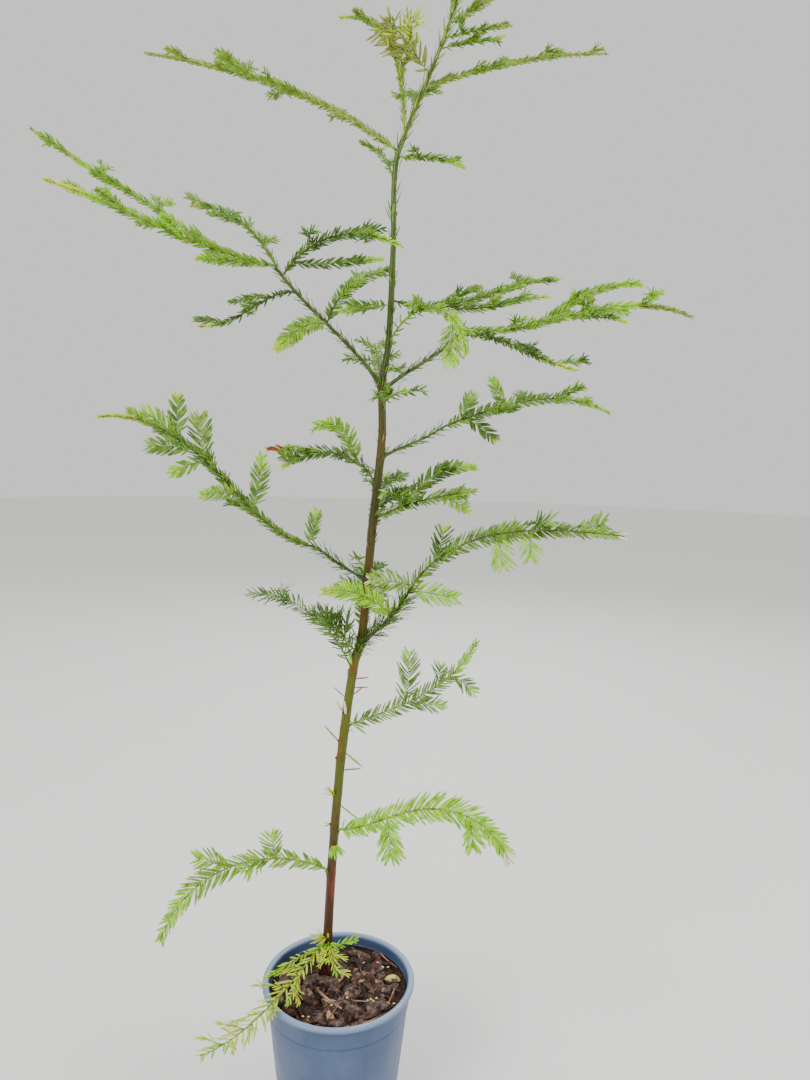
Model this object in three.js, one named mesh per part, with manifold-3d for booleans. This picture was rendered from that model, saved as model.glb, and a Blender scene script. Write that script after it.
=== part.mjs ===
import * as THREE from "three";
import { mergeVertices } from "three/addons/utils/BufferGeometryUtils.js";
import Module from "manifold-3d";

const wasm = await Module();
wasm.setup();

// A coast redwood sapling in a round nursery pot. Millimetres and degrees, +Z up, +Y away
// from the viewer. The origin is the centre of the pot's flat underside.

// Air left between pieces that touch on the real plant. Two solids nearer than the
// smallest gap count as touching. A fused solid is simplified to the tolerance and has no
// face thinner than a sliver: a piece that would leave one is swelled a little and retried.
const CLEARANCE = 0.3;
const SMALLEST_GAP = 0.27;
const TOLERANCE = 0.02;
const SLIVER = 0.004;
const SWELLS = [1, 1.04, 0.97, 1.08, 0.94, 1.12, 0.91, 1.16];

// The pot is a thin moulded cup with a wide rolled rim and a collar that ends in a small
// step. Inside, a ledge on which a second pot nests makes the opening a little wider.
const POT_HEIGHT = 170;
const POT_RIM_RADIUS = 82.5;
const POT_RIM_DEPTH = 5.6;
const POT_RIM_EASE = 0.7;
const POT_LIP_ROUND = 2.2;
const POT_COLLAR_RADIUS = 77;
const POT_COLLAR_DEPTH = 25;
const POT_COLLAR_STEP = 0.8;
const POT_FOOT_RADIUS = 61;
const POT_FOOT_ROUND = 2;
const POT_WALL = 1.6;
const POT_FLOOR = 2.4;
const POT_LEDGE_DEPTH = 12;
const POT_FACETS = 36;

// The potting mix fills the pot to a little under the rim, under a mulch of bark chips.
const SOIL_TOP = 152;
const SOIL_RELIEF = 1.1;
const SOIL_FINE_WAVES = [5, 6];
const SOIL_COARSE_WAVES = [9, 4.5];
const SOIL_FADE = 8;
const SOIL_RINGS = 6;
const CHIP_SEED = 77;
const CHIP_COUNT = 14;
const CHIP_SIZE = [15, 8, 3.4];
const CHIP_SIZE_SHARES = [0.7, 1.3];
const CHIP_TILT = 20;
const CHIP_REACH = 62;
const FOOT_CLEARING = 17;

// The stem's sideways place at heights above the soil, its lean away from the viewer, and
// its radius at heights, with a flare at the root.
const STEM_SWAY = [
  [0, -17], [130, -12], [250, -4], [355, 8.5], [385, 16], [500, 25], [600, 33.5], [660, 33],
  [700, 38.5], [800, 41.5], [885, 42], [925, 55], [985, 79], [1050, 102], [1110, 118],
];
const STEM_BACK = 30;
const STEM_LEAN = 0.045;
const STEM_HEIGHT = 1110;
const STEM_RADII = [[0, 5.2], [330, 5], [600, 4.4], [690, 3.5], [900, 2.6], [1110, 1.1]];
const ROOT_FLARE = 2.6;
const ROOT_FLARE_HEIGHT = 14;
const STEM_SIDES = 10;
const STEM_STEP = 30;

// A shoot is followed in equal steps, and its needles stand in toothed rows on both sides.
// The rows are bare for the first of the listed lengths that clears the neighbours, and
// needles are shorter at a shoot's foot and tip. A twig's radius grows with its length.
const PATH_STEPS = 24;
const TWIG_RADIUS = 0.55;
const TWIG_THICKENING = 1 / 280;
const TWIG_TAPER = 0.55;
const NEEDLE_SHARES = [[0, 0.6], [0.29, 1], [0.63, 1], [1, 0.3]];
const LIMB_SIDES = 6;
const LIMB_STEPS = 6;
const NEEDLE_SPREAD = 42;
const AXIS_PITCH = 21;
const SHOOT_PITCH = 16;
const BARE_STARTS = [7, 22, 45, 70];
const BARE_LIMIT = 0.8;
const ROOT_GAPS = [-0.6, -0.3, 0, 0.3, 0.6, 0.9];

// Boughs, from a height on the stem: bearing seen from above, counter-clockwise from +X,
// rise at the start, middle and end, length, and radius at both ends.
const BOUGHS = [
  { name: "bough_left", at: 655, bearing: 210, rise: [51, 38, 49], length: 155, radii: [2.2, 1.6] },
  { name: "bough_right", at: 651, bearing: 338, rise: [39, 30, 50], length: 103, radii: [2.1, 1.5] },
  { name: "bough_mid_right", at: 581, bearing: 27, rise: [25, 22, 33], length: 79, radii: [1.6, 1.2] },
  { name: "bough_low_left", at: 449, bearing: 212, rise: [25, 34, 30], length: 70, radii: [1.5, 1.2] },
  { name: "bough_low_right", at: 378, bearing: 333, rise: [41, 47, 58], length: 70, radii: [1.7, 1.3] },
];

// Masses of foliage. Each grows from the stem at a height, or from a bough at a share of
// its length. Its first shoot carries the others, each at a share of the first one's
// length. "sprays" side sprays of up to "spray" millimetres grow on a shoot by the seeded
// rule, and "roll" turns its flat rows of needles about it, 0 being level.
const FOLIAGE = [
  { name: "foliage_leader_tip", on: "stem", at: 1110, shoots: [
    { bearing: 20, rise: [72, 76, 78], length: 30, needle: 9, roll: 60, sprays: 0, spray: 0 },
  ] },
  { name: "foliage_crown_left", on: "stem", at: 1082, shoots: [
    { bearing: 190, rise: [48, 60, 64], length: 58, needle: 10, roll: 60, sprays: 2, spray: 28 },
  ] },
  { name: "foliage_crown_right", on: "stem", at: 1064, shoots: [
    { bearing: 350, rise: [30, 36, 30], length: 72, needle: 10, roll: 50, sprays: 2, spray: 30 },
  ] },
  { name: "foliage_crown_back", on: "stem", at: 1048, shoots: [
    { bearing: 105, rise: [40, 46, 40], length: 84, needle: 10, roll: 20, sprays: 3, spray: 34 },
  ] },
  { name: "foliage_crown_front", on: "stem", at: 1038, shoots: [
    { bearing: 255, rise: [42, 48, 40], length: 66, needle: 10, roll: 20, sprays: 2, spray: 30 },
  ] },
  { name: "foliage_top_right_up", on: "stem", at: 1026, shoots: [
    { bearing: 45, rise: [34, 37, 28], length: 100, needle: 10, roll: 60, sprays: 3, spray: 34 },
  ] },
  { name: "foliage_top_right_mid", on: "stem", at: 1012, shoots: [
    { bearing: 320, rise: [-4, -8, -14], length: 80, needle: 9, roll: 60, sprays: 2, spray: 32 },
  ] },
  { name: "foliage_top_right_low", on: "stem", at: 1000, shoots: [
    { bearing: 5, rise: [24, 10, 20], length: 66, needle: 9, roll: 60, sprays: 2, spray: 28 },
  ] },
  { name: "foliage_top_fan", on: "stem", at: 976, shoots: [
    { bearing: 226, rise: [22, 26, -44], length: 78, needle: 13, roll: 24, sprays: 4, spray: 40 },
  ] },
  { name: "foliage_top_right_long", on: "stem", at: 963, shoots: [
    { bearing: 28, rise: [26, 20, 12], length: 250, needle: 9, roll: 60, sprays: 5, spray: 44 },
  ] },
  { name: "foliage_top_back", on: "stem", at: 940, shoots: [
    { bearing: 88, rise: [36, 26, 10], length: 150, needle: 11, roll: 15, sprays: 4, spray: 50 },
  ] },
  { name: "foliage_twin_leader", on: "stem", at: 912, shoots: [
    { bearing: 172, rise: [88, 66, -10], length: 148, needle: 9, roll: 60, sprays: 4, spray: 36 },
    { at: 0.32, bearing: 330, rise: [86, 62, 34], length: 42, needle: 9, roll: 60, sprays: 0, spray: 0 },
  ] },
  { name: "foliage_short_right", on: "stem", at: 893, shoots: [
    { bearing: 325, rise: [-12, -13, -36], length: 84, needle: 10, roll: 60, sprays: 2, spray: 30 },
  ] },
  { name: "foliage_long_left", on: "stem", at: 898, shoots: [
    { bearing: 162, rise: [37, 22, 13], length: 332, needle: 10, roll: 60, sprays: 6, spray: 52 },
    { at: 0.57, bearing: 132, rise: [30, 36, 38], length: 84, needle: 12, roll: 60, sprays: 2, spray: 30 },
  ] },
  { name: "foliage_short_left", on: "stem", at: 872, shoots: [
    { bearing: 120, rise: [50, 38, 18], length: 72, needle: 10, roll: 30, sprays: 2, spray: 30 },
  ] },
  { name: "foliage_upper_right", on: "stem", at: 747, shoots: [
    { bearing: 30, rise: [-10, 19, 6], length: 232, needle: 12, roll: 60, sprays: 5, spray: 54 },
    { at: 0.27, bearing: 0, rise: [-18, 13, -1], length: 116, needle: 12, roll: 60, sprays: 2, spray: 36 },
  ] },
  { name: "foliage_upper_left", on: "stem", at: 742, shoots: [
    { bearing: 215, rise: [-8, -13, -17], length: 60, needle: 12, roll: 36, sprays: 1, spray: 28 },
  ] },
  { name: "foliage_upper_front", on: "stem", at: 702, shoots: [
    { bearing: 310, rise: [46, -9, -84], length: 146, needle: 12, roll: 40, sprays: 2, spray: 36 },
    { at: 0.72, bearing: 262, rise: [-60, -74, -84], length: 46, needle: 17, roll: 0, sprays: 0, spray: 0 },
  ] },
  { name: "foliage_whorl_back", on: "stem", at: 648, shoots: [
    { bearing: 96, rise: [36, 22, 2], length: 180, needle: 12, roll: 10, sprays: 5, spray: 58 },
  ] },
  { name: "foliage_whorl_front", on: "stem", at: 640, shoots: [
    { bearing: 285, rise: [8, 4, -4], length: 96, needle: 12, roll: 20, sprays: 2, spray: 40 },
  ] },
  { name: "foliage_left_back", on: "bough_left", at: 0.52, shoots: [
    { bearing: 62, rise: [62, 26, 22], length: 150, needle: 12, roll: 40, sprays: 3, spray: 46 },
  ] },
  { name: "foliage_left_face", on: "bough_left", at: 0.5, shoots: [
    { bearing: 236, rise: [8, -28, -36], length: 98, needle: 16, roll: 36, sprays: 2, spray: 44 },
  ] },
  { name: "foliage_left_droop", on: "bough_left", at: 0.8, shoots: [
    { bearing: 238, rise: [-6, -29, -3], length: 136, needle: 14, roll: 40, sprays: 3, spray: 48 },
  ] },
  { name: "foliage_left_inner", on: "bough_left", at: 0.93, shoots: [
    { bearing: 318, rise: [40, 0, -25], length: 164, needle: 12, roll: -62, sprays: 3, spray: 44 },
    { at: 0.1, bearing: 10, rise: [-4, 8, 4], length: 88, needle: 11, roll: -72, sprays: 1, spray: 34 },
  ] },
  { name: "foliage_left_crest", on: "bough_left", at: 0.96, shoots: [
    { bearing: 146, rise: [56, 32, 3], length: 150, needle: 13, roll: 60, sprays: 4, spray: 46 },
  ] },
  { name: "foliage_left_long", on: "bough_left", at: 1, shoots: [
    { bearing: 202, rise: [4, 18, 12], length: 210, needle: 12, roll: 60, sprays: 5, spray: 52 },
    { at: 0.3, bearing: 166, rise: [36, 30, 34], length: 226, needle: 11, roll: 50, sprays: 4, spray: 44 },
    { at: 0.06, bearing: 224, rise: [-4, -6, -4], length: 70, needle: 12, roll: 60, sprays: 1, spray: 30 },
  ] },
  { name: "foliage_right_long", on: "bough_right", at: 1, shoots: [
    { bearing: 334, rise: [-14, 11, -28], length: 222, needle: 12, roll: 60, sprays: 5, spray: 50 },
    { at: 0.34, bearing: 15, rise: [32, 25, -6], length: 124, needle: 11, roll: 60, sprays: 3, spray: 36 },
    { at: 0.48, bearing: 300, rise: [-10, -5, -30], length: 78, needle: 12, roll: 40, sprays: 1, spray: 30 },
  ] },
  { name: "foliage_right_droop", on: "bough_right", at: 0.9, shoots: [
    { bearing: 305, rise: [4, -20, -12], length: 170, needle: 12, roll: 40, sprays: 4, spray: 50 },
  ] },
  { name: "foliage_mid_right", on: "bough_mid_right", at: 1, shoots: [
    { bearing: 25, rise: [20, 9, -24], length: 234, needle: 12, roll: 60, sprays: 4, spray: 50 },
    { at: 0.08, bearing: 350, rise: [52, 66, 70], length: 34, needle: 14, roll: 80, sprays: 0, spray: 0 },
    { at: 0.12, bearing: 330, rise: [-20, -34, -40], length: 46, needle: 14, roll: 40, sprays: 0, spray: 0 },
    { at: 0.36, bearing: 160, rise: [40, 60, 70], length: 36, needle: 13, roll: 70, sprays: 0, spray: 0 },
  ] },
  { name: "foliage_mid_left", on: "stem", at: 551, shoots: [
    { bearing: 160, rise: [55, 2, -33], length: 122, needle: 14, roll: 50, sprays: 2, spray: 40 },
    { at: 0.22, bearing: 225, rise: [76, 33, -46], length: 82, needle: 14, roll: 40, sprays: 1, spray: 36 },
    { at: 0.55, bearing: 178, rise: [8, 2, -4], length: 62, needle: 11, roll: 50, sprays: 0, spray: 0 },
  ] },
  { name: "foliage_mid_front", on: "stem", at: 514, shoots: [
    { bearing: 325, rise: [28, 15, 7], length: 130, needle: 13, roll: 50, sprays: 2, spray: 40 },
    { at: 0.32, bearing: 20, rise: [62, 27, -6], length: 92, needle: 14, roll: 60, sprays: 1, spray: 34 },
    { at: 0.66, bearing: 302, rise: [-6, -14, -22], length: 50, needle: 12, roll: 40, sprays: 0, spray: 0 },
    { at: 0.3, bearing: 236, rise: [50, 20, -30], length: 46, needle: 14, roll: 30, sprays: 0, spray: 0 },
  ] },
  { name: "foliage_mid_back", on: "stem", at: 500, shoots: [
    { bearing: 84, rise: [34, 24, 4], length: 150, needle: 13, roll: 10, sprays: 4, spray: 54 },
  ] },
  { name: "foliage_low_left", on: "bough_low_left", at: 1, shoots: [
    { bearing: 210, rise: [13, 46, -10], length: 252, needle: 11, roll: 60, sprays: 3, spray: 44 },
    { at: 0.03, bearing: 20, rise: [66, 76, 80], length: 38, needle: 12, roll: 80, sprays: 0, spray: 0 },
    { at: 0.31, bearing: 30, rise: [70, 80, 84], length: 54, needle: 14, roll: 80, sprays: 0, spray: 0 },
    { at: 0.4, bearing: 240, rise: [6, 2, -6], length: 48, needle: 13, roll: 70, sprays: 0, spray: 0 },
    { at: 0.57, bearing: 190, rise: [72, 84, 88], length: 44, needle: 18, roll: 90, sprays: 0, spray: 0 },
    { at: 0.58, bearing: 205, rise: [-16, -22, -28], length: 34, needle: 12, roll: 80, sprays: 0, spray: 0 },
    { at: 0.64, bearing: 215, rise: [10, 4, -4], length: 42, needle: 15, roll: 70, sprays: 0, spray: 0 },
    { at: 0.68, bearing: 200, rise: [42, 38, 34], length: 46, needle: 15, roll: 80, sprays: 0, spray: 0 },
    { at: 0.71, bearing: 100, rise: [72, 84, 88], length: 40, needle: 13, roll: 10, sprays: 0, spray: 0 },
  ] },
  { name: "foliage_low_right", on: "bough_low_right", at: 1, shoots: [
    { bearing: 331, rise: [64, 15, -2], length: 254, needle: 13, roll: 68, sprays: 4, spray: 44 },
    { at: 0.06, bearing: 218, rise: [14, 12, 6], length: 58, needle: 16, roll: 78, sprays: 0, spray: 0 },
    { at: 0.03, bearing: 330, rise: [4, -2, -6], length: 56, needle: 16, roll: 88, sprays: 0, spray: 0 },
    { at: 0.2, bearing: 10, rise: [60, 76, 80], length: 38, needle: 14, roll: 88, sprays: 0, spray: 0 },
    { at: 0.5, bearing: 300, rise: [-40, -70, -80], length: 34, needle: 16, roll: 48, sprays: 0, spray: 0 },
    { at: 0.63, bearing: 280, rise: [-30, -62, -76], length: 30, needle: 14, roll: 23, sprays: 0, spray: 0 },
  ] },
  { name: "foliage_low_frond", on: "bough_low_right", at: 0.62, shoots: [
    { bearing: 222, rise: [38, 23, -3], length: 97, needle: 15, roll: 60, sprays: 0, spray: 0 },
  ] },
  { name: "foliage_node_tuft", on: "stem", at: 368, shoots: [
    { bearing: 230, rise: [40, 50, 45], length: 66, needle: 17, roll: 50, sprays: 2, spray: 38 },
  ] },
  { name: "foliage_node_back", on: "stem", at: 388, shoots: [
    { bearing: 92, rise: [40, 26, 0], length: 140, needle: 14, roll: 10, sprays: 4, spray: 52 },
  ] },
  { name: "foliage_base_left", on: "stem", at: 347, shoots: [
    { bearing: 148, rise: [58, 23, -10], length: 162, needle: 11, roll: -52, sprays: 3, spray: 44 },
    { at: 0.62, bearing: 190, rise: [24, 12, 6], length: 52, needle: 11, roll: -72, sprays: 0, spray: 0 },
  ] },
  { name: "foliage_base_right", on: "stem", at: 285, shoots: [
    { bearing: 30, rise: [12, 19, 60], length: 190, needle: 12, roll: 60, sprays: 0, spray: 0 },
    { at: 0.36, bearing: 20, rise: [72, 86, 88], length: 62, needle: 18, roll: 90, sprays: 0, spray: 0 },
    { at: 0.38, bearing: 350, rise: [4, 2, 6], length: 46, needle: 11, roll: 60, sprays: 0, spray: 0 },
    { at: 0.62, bearing: 330, rise: [70, 84, 86], length: 26, needle: 13, roll: 90, sprays: 0, spray: 0 },
    { at: 0.72, bearing: 345, rise: [-10, -30, -44], length: 36, needle: 11, roll: 60, sprays: 0, spray: 0 },
  ] },
  { name: "foliage_foot_right", on: "stem", at: 168, shoots: [
    { bearing: 328, rise: [16, 22, -62], length: 230, needle: 21, roll: 60, sprays: 0, spray: 0 },
    { at: 0.3, bearing: 290, rise: [-36, -62, -74], length: 40, needle: 18, roll: 70, sprays: 0, spray: 0 },
    { at: 0.76, bearing: 280, rise: [-30, -56, -70], length: 30, needle: 13, roll: 60, sprays: 0, spray: 0 },
  ] },
  { name: "foliage_foot_left", on: "stem", at: 119, shoots: [
    { bearing: 182, rise: [26, -26, -74], length: 234, needle: 17, roll: -78, sprays: 0, spray: 0 },
    { at: 0.24, bearing: 230, rise: [62, 74, 80], length: 34, needle: 14, roll: 52, sprays: 0, spray: 0 },
    { at: 0.3, bearing: 240, rise: [10, 0, -10], length: 32, needle: 15, roll: -58, sprays: 0, spray: 0 },
    { at: 0.46, bearing: 196, rise: [30, 20, 10], length: 42, needle: 15, roll: -68, sprays: 0, spray: 0 },
  ] },
  { name: "foliage_basal_long", on: "stem", at: 44, shoots: [
    { bearing: 239, rise: [-18, -5, 22], length: 195, needle: 18, roll: 0, sprays: 0, spray: 0 },
    { at: 0.06, bearing: 216, rise: [2, -10, -12], length: 66, needle: 14, roll: -58, sprays: 0, spray: 0 },
    { at: 0.2, bearing: 258, rise: [-4, -8, -10], length: 52, needle: 13, roll: -28, sprays: 0, spray: 0 },
  ] },
  { name: "foliage_basal_front", on: "stem", at: 34, shoots: [
    { bearing: 286, rise: [30, -14, -34], length: 46, needle: 9, roll: 0, sprays: 0, spray: 0 },
  ] },
  { name: "foliage_basal_right", on: "stem", at: 28, shoots: [
    { bearing: 345, rise: [30, 30, 28], length: 34, needle: 9, roll: 50, sprays: 0, spray: 0 },
  ] },
];

// The seeded rule for side sprays: the share of the shoot that carries them, how far they
// swing out from it, how much they lift or sag, and how much shorter they are at its tip.
const SPRAY_FIRST = 0.16;
const SPRAY_LAST = 0.9;
const SPRAY_SWING = 50;
const SPRAY_SWING_RANGE = 22;
const SPRAY_LIFT = 12;
const SPRAY_LIFT_RANGE = 34;
const SPRAY_SAG = 16;
const SPRAY_FOLLOW = 0.6;
const SPRAY_LENGTHS = [0.7, 1.2];
const SPRAY_SHORTENING = 0.5;
const SPRAY_ROLL_RANGE = 50;

const COLOURS = {
  pot: 0x8290ab,
  mulch: 0x4a2f22,
  stem: 0x7a6a35,
  bough: 0x6b7a2e,
  foliage: 0x5f9136,
  youngFoliage: 0x9cc244,
};

const UP = new THREE.Vector3(0, 0, 1);

function radians(degrees) {
  return THREE.MathUtils.degToRad(degrees);
}

// Repeatable random numbers from 0 to 1.
function randomFrom(seed) {
  let state = seed;
  return () => {
    state = (state * 48271) % 2147483647;
    return state / 2147483647;
  };
}

// The closed solid of a geometry, its shared vertices merged and its empty faces dropped.
function solidFrom(geometry) {
  const bare = geometry.clone();
  bare.deleteAttribute("normal");
  bare.deleteAttribute("uv");
  const merged = mergeVertices(bare, 1e-4);
  const index = merged.index.array;
  const triangles = [];
  for (let i = 0; i < index.length; i += 3) {
    const corners = new Set([index[i], index[i + 1], index[i + 2]]);
    if (corners.size === 3) {
      triangles.push(...corners);
    }
  }
  return new wasm.Manifold(new wasm.Mesh({
    numProp: 3,
    vertProperties: Float32Array.from(merged.attributes.position.array),
    triVerts: Uint32Array.from(triangles),
  }));
}

// A straight extrusion of the section laid along the stations. The section's x runs along
// each station's side and its y along its up, and its outer points lean forward.
function sweep(section, stations) {
  const steps = stations.length - 1;
  const geometry = new THREE.ExtrudeGeometry(section, { depth: steps, steps, bevelEnabled: false });
  const position = geometry.attributes.position;
  for (let i = 0; i < position.count; i += 1) {
    const station = stations[Math.round(position.getZ(i))];
    const across = position.getX(i);
    const point = station.centre.clone();
    point.addScaledVector(station.side, across * station.across);
    point.addScaledVector(station.up, position.getY(i) * station.through);
    point.addScaledVector(station.forward, Math.abs(across) * station.lean);
    position.setXYZ(i, point.x, point.y, point.z);
  }
  return geometry;
}

function roundSection(sides) {
  const corners = [];
  for (let i = 0; i < sides; i += 1) {
    const angle = (2 * Math.PI * i) / sides;
    corners.push(new THREE.Vector2(Math.cos(angle), Math.sin(angle)));
  }
  return new THREE.Shape(corners);
}

// A value read off a list of [place, value] pairs, in straight lines between them.
function interpolate(pairs, place) {
  const last = pairs.findIndex((pair) => pair[0] >= place);
  const i = Math.max(1, last === -1 ? pairs.length - 1 : last);
  const [place0, value0] = pairs[i - 1];
  const [place1, value1] = pairs[i];
  return THREE.MathUtils.mapLinear(place, place0, place1, value0, value1);
}

// The stem's sideways place at a height: a smooth cubic through the sway, whose slope at
// each listed height is that of the line between its two neighbours.
function stemSway(height) {
  const last = STEM_SWAY.length - 1;
  const slope = (i) => {
    const before = STEM_SWAY[Math.max(i - 1, 0)];
    const after = STEM_SWAY[Math.min(i + 1, last)];
    return (after[1] - before[1]) / (after[0] - before[0]);
  };
  const next = STEM_SWAY.findIndex((pair) => pair[0] >= height);
  const i = THREE.MathUtils.clamp(next - 1, 0, last - 1);
  const span = STEM_SWAY[i + 1][0] - STEM_SWAY[i][0];
  const t = (height - STEM_SWAY[i][0]) / span;
  return (2 * t ** 3 - 3 * t ** 2 + 1) * STEM_SWAY[i][1]
    + (t ** 3 - 2 * t ** 2 + t) * span * slope(i)
    + (3 * t ** 2 - 2 * t ** 3) * STEM_SWAY[i + 1][1]
    + (t ** 3 - t ** 2) * span * slope(i + 1);
}

function stemPoint(height) {
  const foot = SOIL_TOP + CLEARANCE;
  return new THREE.Vector3(stemSway(height), STEM_BACK + STEM_LEAN * height, foot + height);
}

function stemDirection(height) {
  const low = stemPoint(Math.max(height - 2, 0));
  return stemPoint(Math.min(height + 2, STEM_HEIGHT)).sub(low).normalize();
}

function stemRadius(height) {
  return interpolate(STEM_RADII, height) + ROOT_FLARE * Math.exp(-height / ROOT_FLARE_HEIGHT);
}

// The rise of a shoot at a share of its length: a parabola through its three rises.
function riseAt(rise, share) {
  const [start, middle, end] = rise;
  return start * (1 - share) * (1 - 2 * share)
    + middle * 4 * share * (1 - share)
    + end * share * (2 * share - 1);
}

function direction(bearing, rise) {
  const level = Math.cos(radians(rise));
  return new THREE.Vector3(
    level * Math.cos(radians(bearing)),
    level * Math.sin(radians(bearing)),
    Math.sin(radians(rise)),
  );
}

// The path of a shoot: equal steps, each turned to the rise at its own middle.
function growPath(start, shoot) {
  const points = [start.clone()];
  for (let step = 0; step < PATH_STEPS; step += 1) {
    const rise = riseAt(shoot.rise, (step + 0.5) / PATH_STEPS);
    const end = points[step].clone();
    points.push(end.addScaledVector(direction(shoot.bearing, rise), shoot.length / PATH_STEPS));
  }
  return { points, bearing: shoot.bearing, rise: shoot.rise, length: shoot.length };
}

function pointOn(path, share) {
  const step = Math.min(Math.floor(share * PATH_STEPS), PATH_STEPS - 1);
  return path.points[step].clone().lerp(path.points[step + 1], share * PATH_STEPS - step);
}

// A station of a sweep, its section square to the path and rolled about it.
function stationOn(path, share, roll, across, through, lean) {
  const forward = direction(path.bearing, riseAt(path.rise, share));
  const level = direction(path.bearing + 90, 0);
  const side = level.clone().applyAxisAngle(forward, radians(roll));
  const up = forward.clone().cross(side);
  return { centre: pointOn(path, share), forward, side, up, across, through, lean };
}

// Where a shoot starts so that its flat end lies a gap away from the round side, or from
// the flat tip, of the limb that carries it.
function rootOn(limb, forward, radius, gap) {
  const cosine = Math.abs(limb.forward.dot(forward));
  const sine = Math.sqrt(1 - cosine * cosine);
  if (limb.isTip) {
    return limb.centre.clone().addScaledVector(limb.forward, gap + radius * sine);
  }
  const reach = (limb.radius + gap + radius * cosine) / sine;
  return limb.centre.clone().addScaledVector(forward, reach);
}

function twigRadius(length) {
  return TWIG_RADIUS + TWIG_THICKENING * length;
}

// A spray of needles: a flat blade on a three-sided twig, toothed on both sides.
const BLADE_SECTION = new THREE.Shape([
  new THREE.Vector2(1, -0.5), new THREE.Vector2(0, 1), new THREE.Vector2(-1, -0.5),
]);

function blade(path, needle, roll, pitch, bare, swell) {
  const radius = (share) => swell * twigRadius(path.length) * (1 - TWIG_TAPER * share);
  const first = Math.min(bare / path.length, BARE_LIMIT);
  const pairs = Math.max(2, Math.round(((1 - first) * path.length) / pitch));
  const stations = [stationOn(path, 0, roll, radius(0), radius(0), 0)];
  for (let pair = 0; pair < pairs; pair += 1) {
    const notch = first + ((1 - first) * pair) / pairs;
    const tooth = first + ((1 - first) * (pair + 0.5)) / pairs;
    const reach = needle * interpolate(NEEDLE_SHARES, tooth);
    const across = reach * Math.sin(radians(NEEDLE_SPREAD));
    const lean = reach * Math.cos(radians(NEEDLE_SPREAD));
    stations.push(stationOn(path, notch, roll, radius(notch), radius(notch), 0));
    stations.push(stationOn(path, tooth, roll, across, radius(tooth), lean));
  }
  stations.push(stationOn(path, 1, roll, radius(1), radius(1), 0));
  return solidFrom(sweep(BLADE_SECTION, stations));
}

// The side sprays of a shoot, on alternate sides, by the seeded rule.
function sideSprays(shoot, seed) {
  const random = randomFrom(seed);
  const sprays = [];
  let side = random() < 0.5 ? -1 : 1;
  for (let i = 0; i < shoot.sprays; i += 1) {
    const place = (i + 0.25 + 0.5 * random()) / shoot.sprays;
    const at = SPRAY_FIRST + (SPRAY_LAST - SPRAY_FIRST) * place;
    const share = THREE.MathUtils.lerp(...SPRAY_LENGTHS, random());
    const length = shoot.spray * (1 - SPRAY_SHORTENING * at) * share;
    const swing = SPRAY_SWING + SPRAY_SWING_RANGE * (random() - 0.5);
    const lift = SPRAY_LIFT + SPRAY_LIFT_RANGE * (random() - 0.5);
    const rise = SPRAY_FOLLOW * riseAt(shoot.rise, at) + lift;
    sprays.push({
      at,
      bearing: shoot.bearing + side * swing,
      rise: [rise, rise - SPRAY_SAG / 2, rise - SPRAY_SAG],
      length,
      needle: shoot.needle,
      roll: shoot.roll + SPRAY_ROLL_RANGE * (random() - 0.5),
    });
    side = -side;
  }
  return sprays;
}

// The least height of any face of a solid.
function thinnestFace(solid) {
  const { vertProperties, triVerts, numProp } = solid.getMesh();
  const corner = (i) => new THREE.Vector3().fromArray(vertProperties, numProp * triVerts[i]);
  let least = Infinity;
  for (let i = 0; i < triVerts.length; i += 3) {
    const [a, b, c] = [corner(i), corner(i + 1), corner(i + 2)];
    const longest = Math.max(a.distanceTo(b), b.distanceTo(c), c.distanceTo(a));
    least = Math.min(least, b.sub(a).cross(c.sub(a)).length() / longest);
  }
  return least;
}

// A body with a piece fused on at the first swell that leaves no sliver, if any does.
function fuse(body, makePiece) {
  for (const swell of SWELLS) {
    const piece = makePiece(swell);
    const joined = piece ? body.add(piece).simplify(TOLERANCE) : body;
    if (thinnestFace(joined) > SLIVER) {
      return joined;
    }
  }
  return body;
}

const group = new THREE.Group();
const settled = [];

// Whether two bounding boxes come within the clearance of each other.
function near(boxA, boxB) {
  const reaches = (low, high, i) => low.min[i] < high.max[i] + CLEARANCE;
  return [0, 1, 2].every((i) => reaches(boxA, boxB, i) && reaches(boxB, boxA, i));
}

// Whether a solid keeps its clearance to every node that is already in place.
function isClear(solid) {
  const box = solid.boundingBox();
  const apart = (other) => solid.minGap(other.solid, CLEARANCE) > SMALLEST_GAP;
  return settled.every((other) => !near(box, other.box) || apart(other));
}

// Adds the largest connected piece of a solid as a named node.
function addNode(name, solid, colour, roughness) {
  const parts = solid.decompose();
  const whole = parts.reduce((best, part) => (part.volume() > best.volume() ? part : best));
  settled.push({ solid: whole, box: whole.boundingBox() });
  const mesh = whole.getMesh();
  const geometry = new THREE.BufferGeometry();
  geometry.setAttribute("position", new THREE.BufferAttribute(mesh.vertProperties, 3));
  geometry.setIndex(new THREE.BufferAttribute(mesh.triVerts, 1));
  geometry.computeVertexNormals();
  const node = new THREE.Mesh(
    geometry,
    new THREE.MeshStandardMaterial({ color: colour, roughness, metalness: 0 }),
  );
  node.name = name;
  group.add(node);
}

function lathe(profile) {
  const geometry = new THREE.LatheGeometry(profile, POT_FACETS);
  return geometry.rotateX(Math.PI / 2);
}

// The outside of the pot's body at a height: it widens up to the collar, then is straight.
function potRadius(height) {
  const share = Math.min(height / (POT_HEIGHT - POT_COLLAR_DEPTH), 1);
  return THREE.MathUtils.lerp(POT_FOOT_RADIUS, POT_COLLAR_RADIUS - POT_COLLAR_STEP, share);
}

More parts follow.
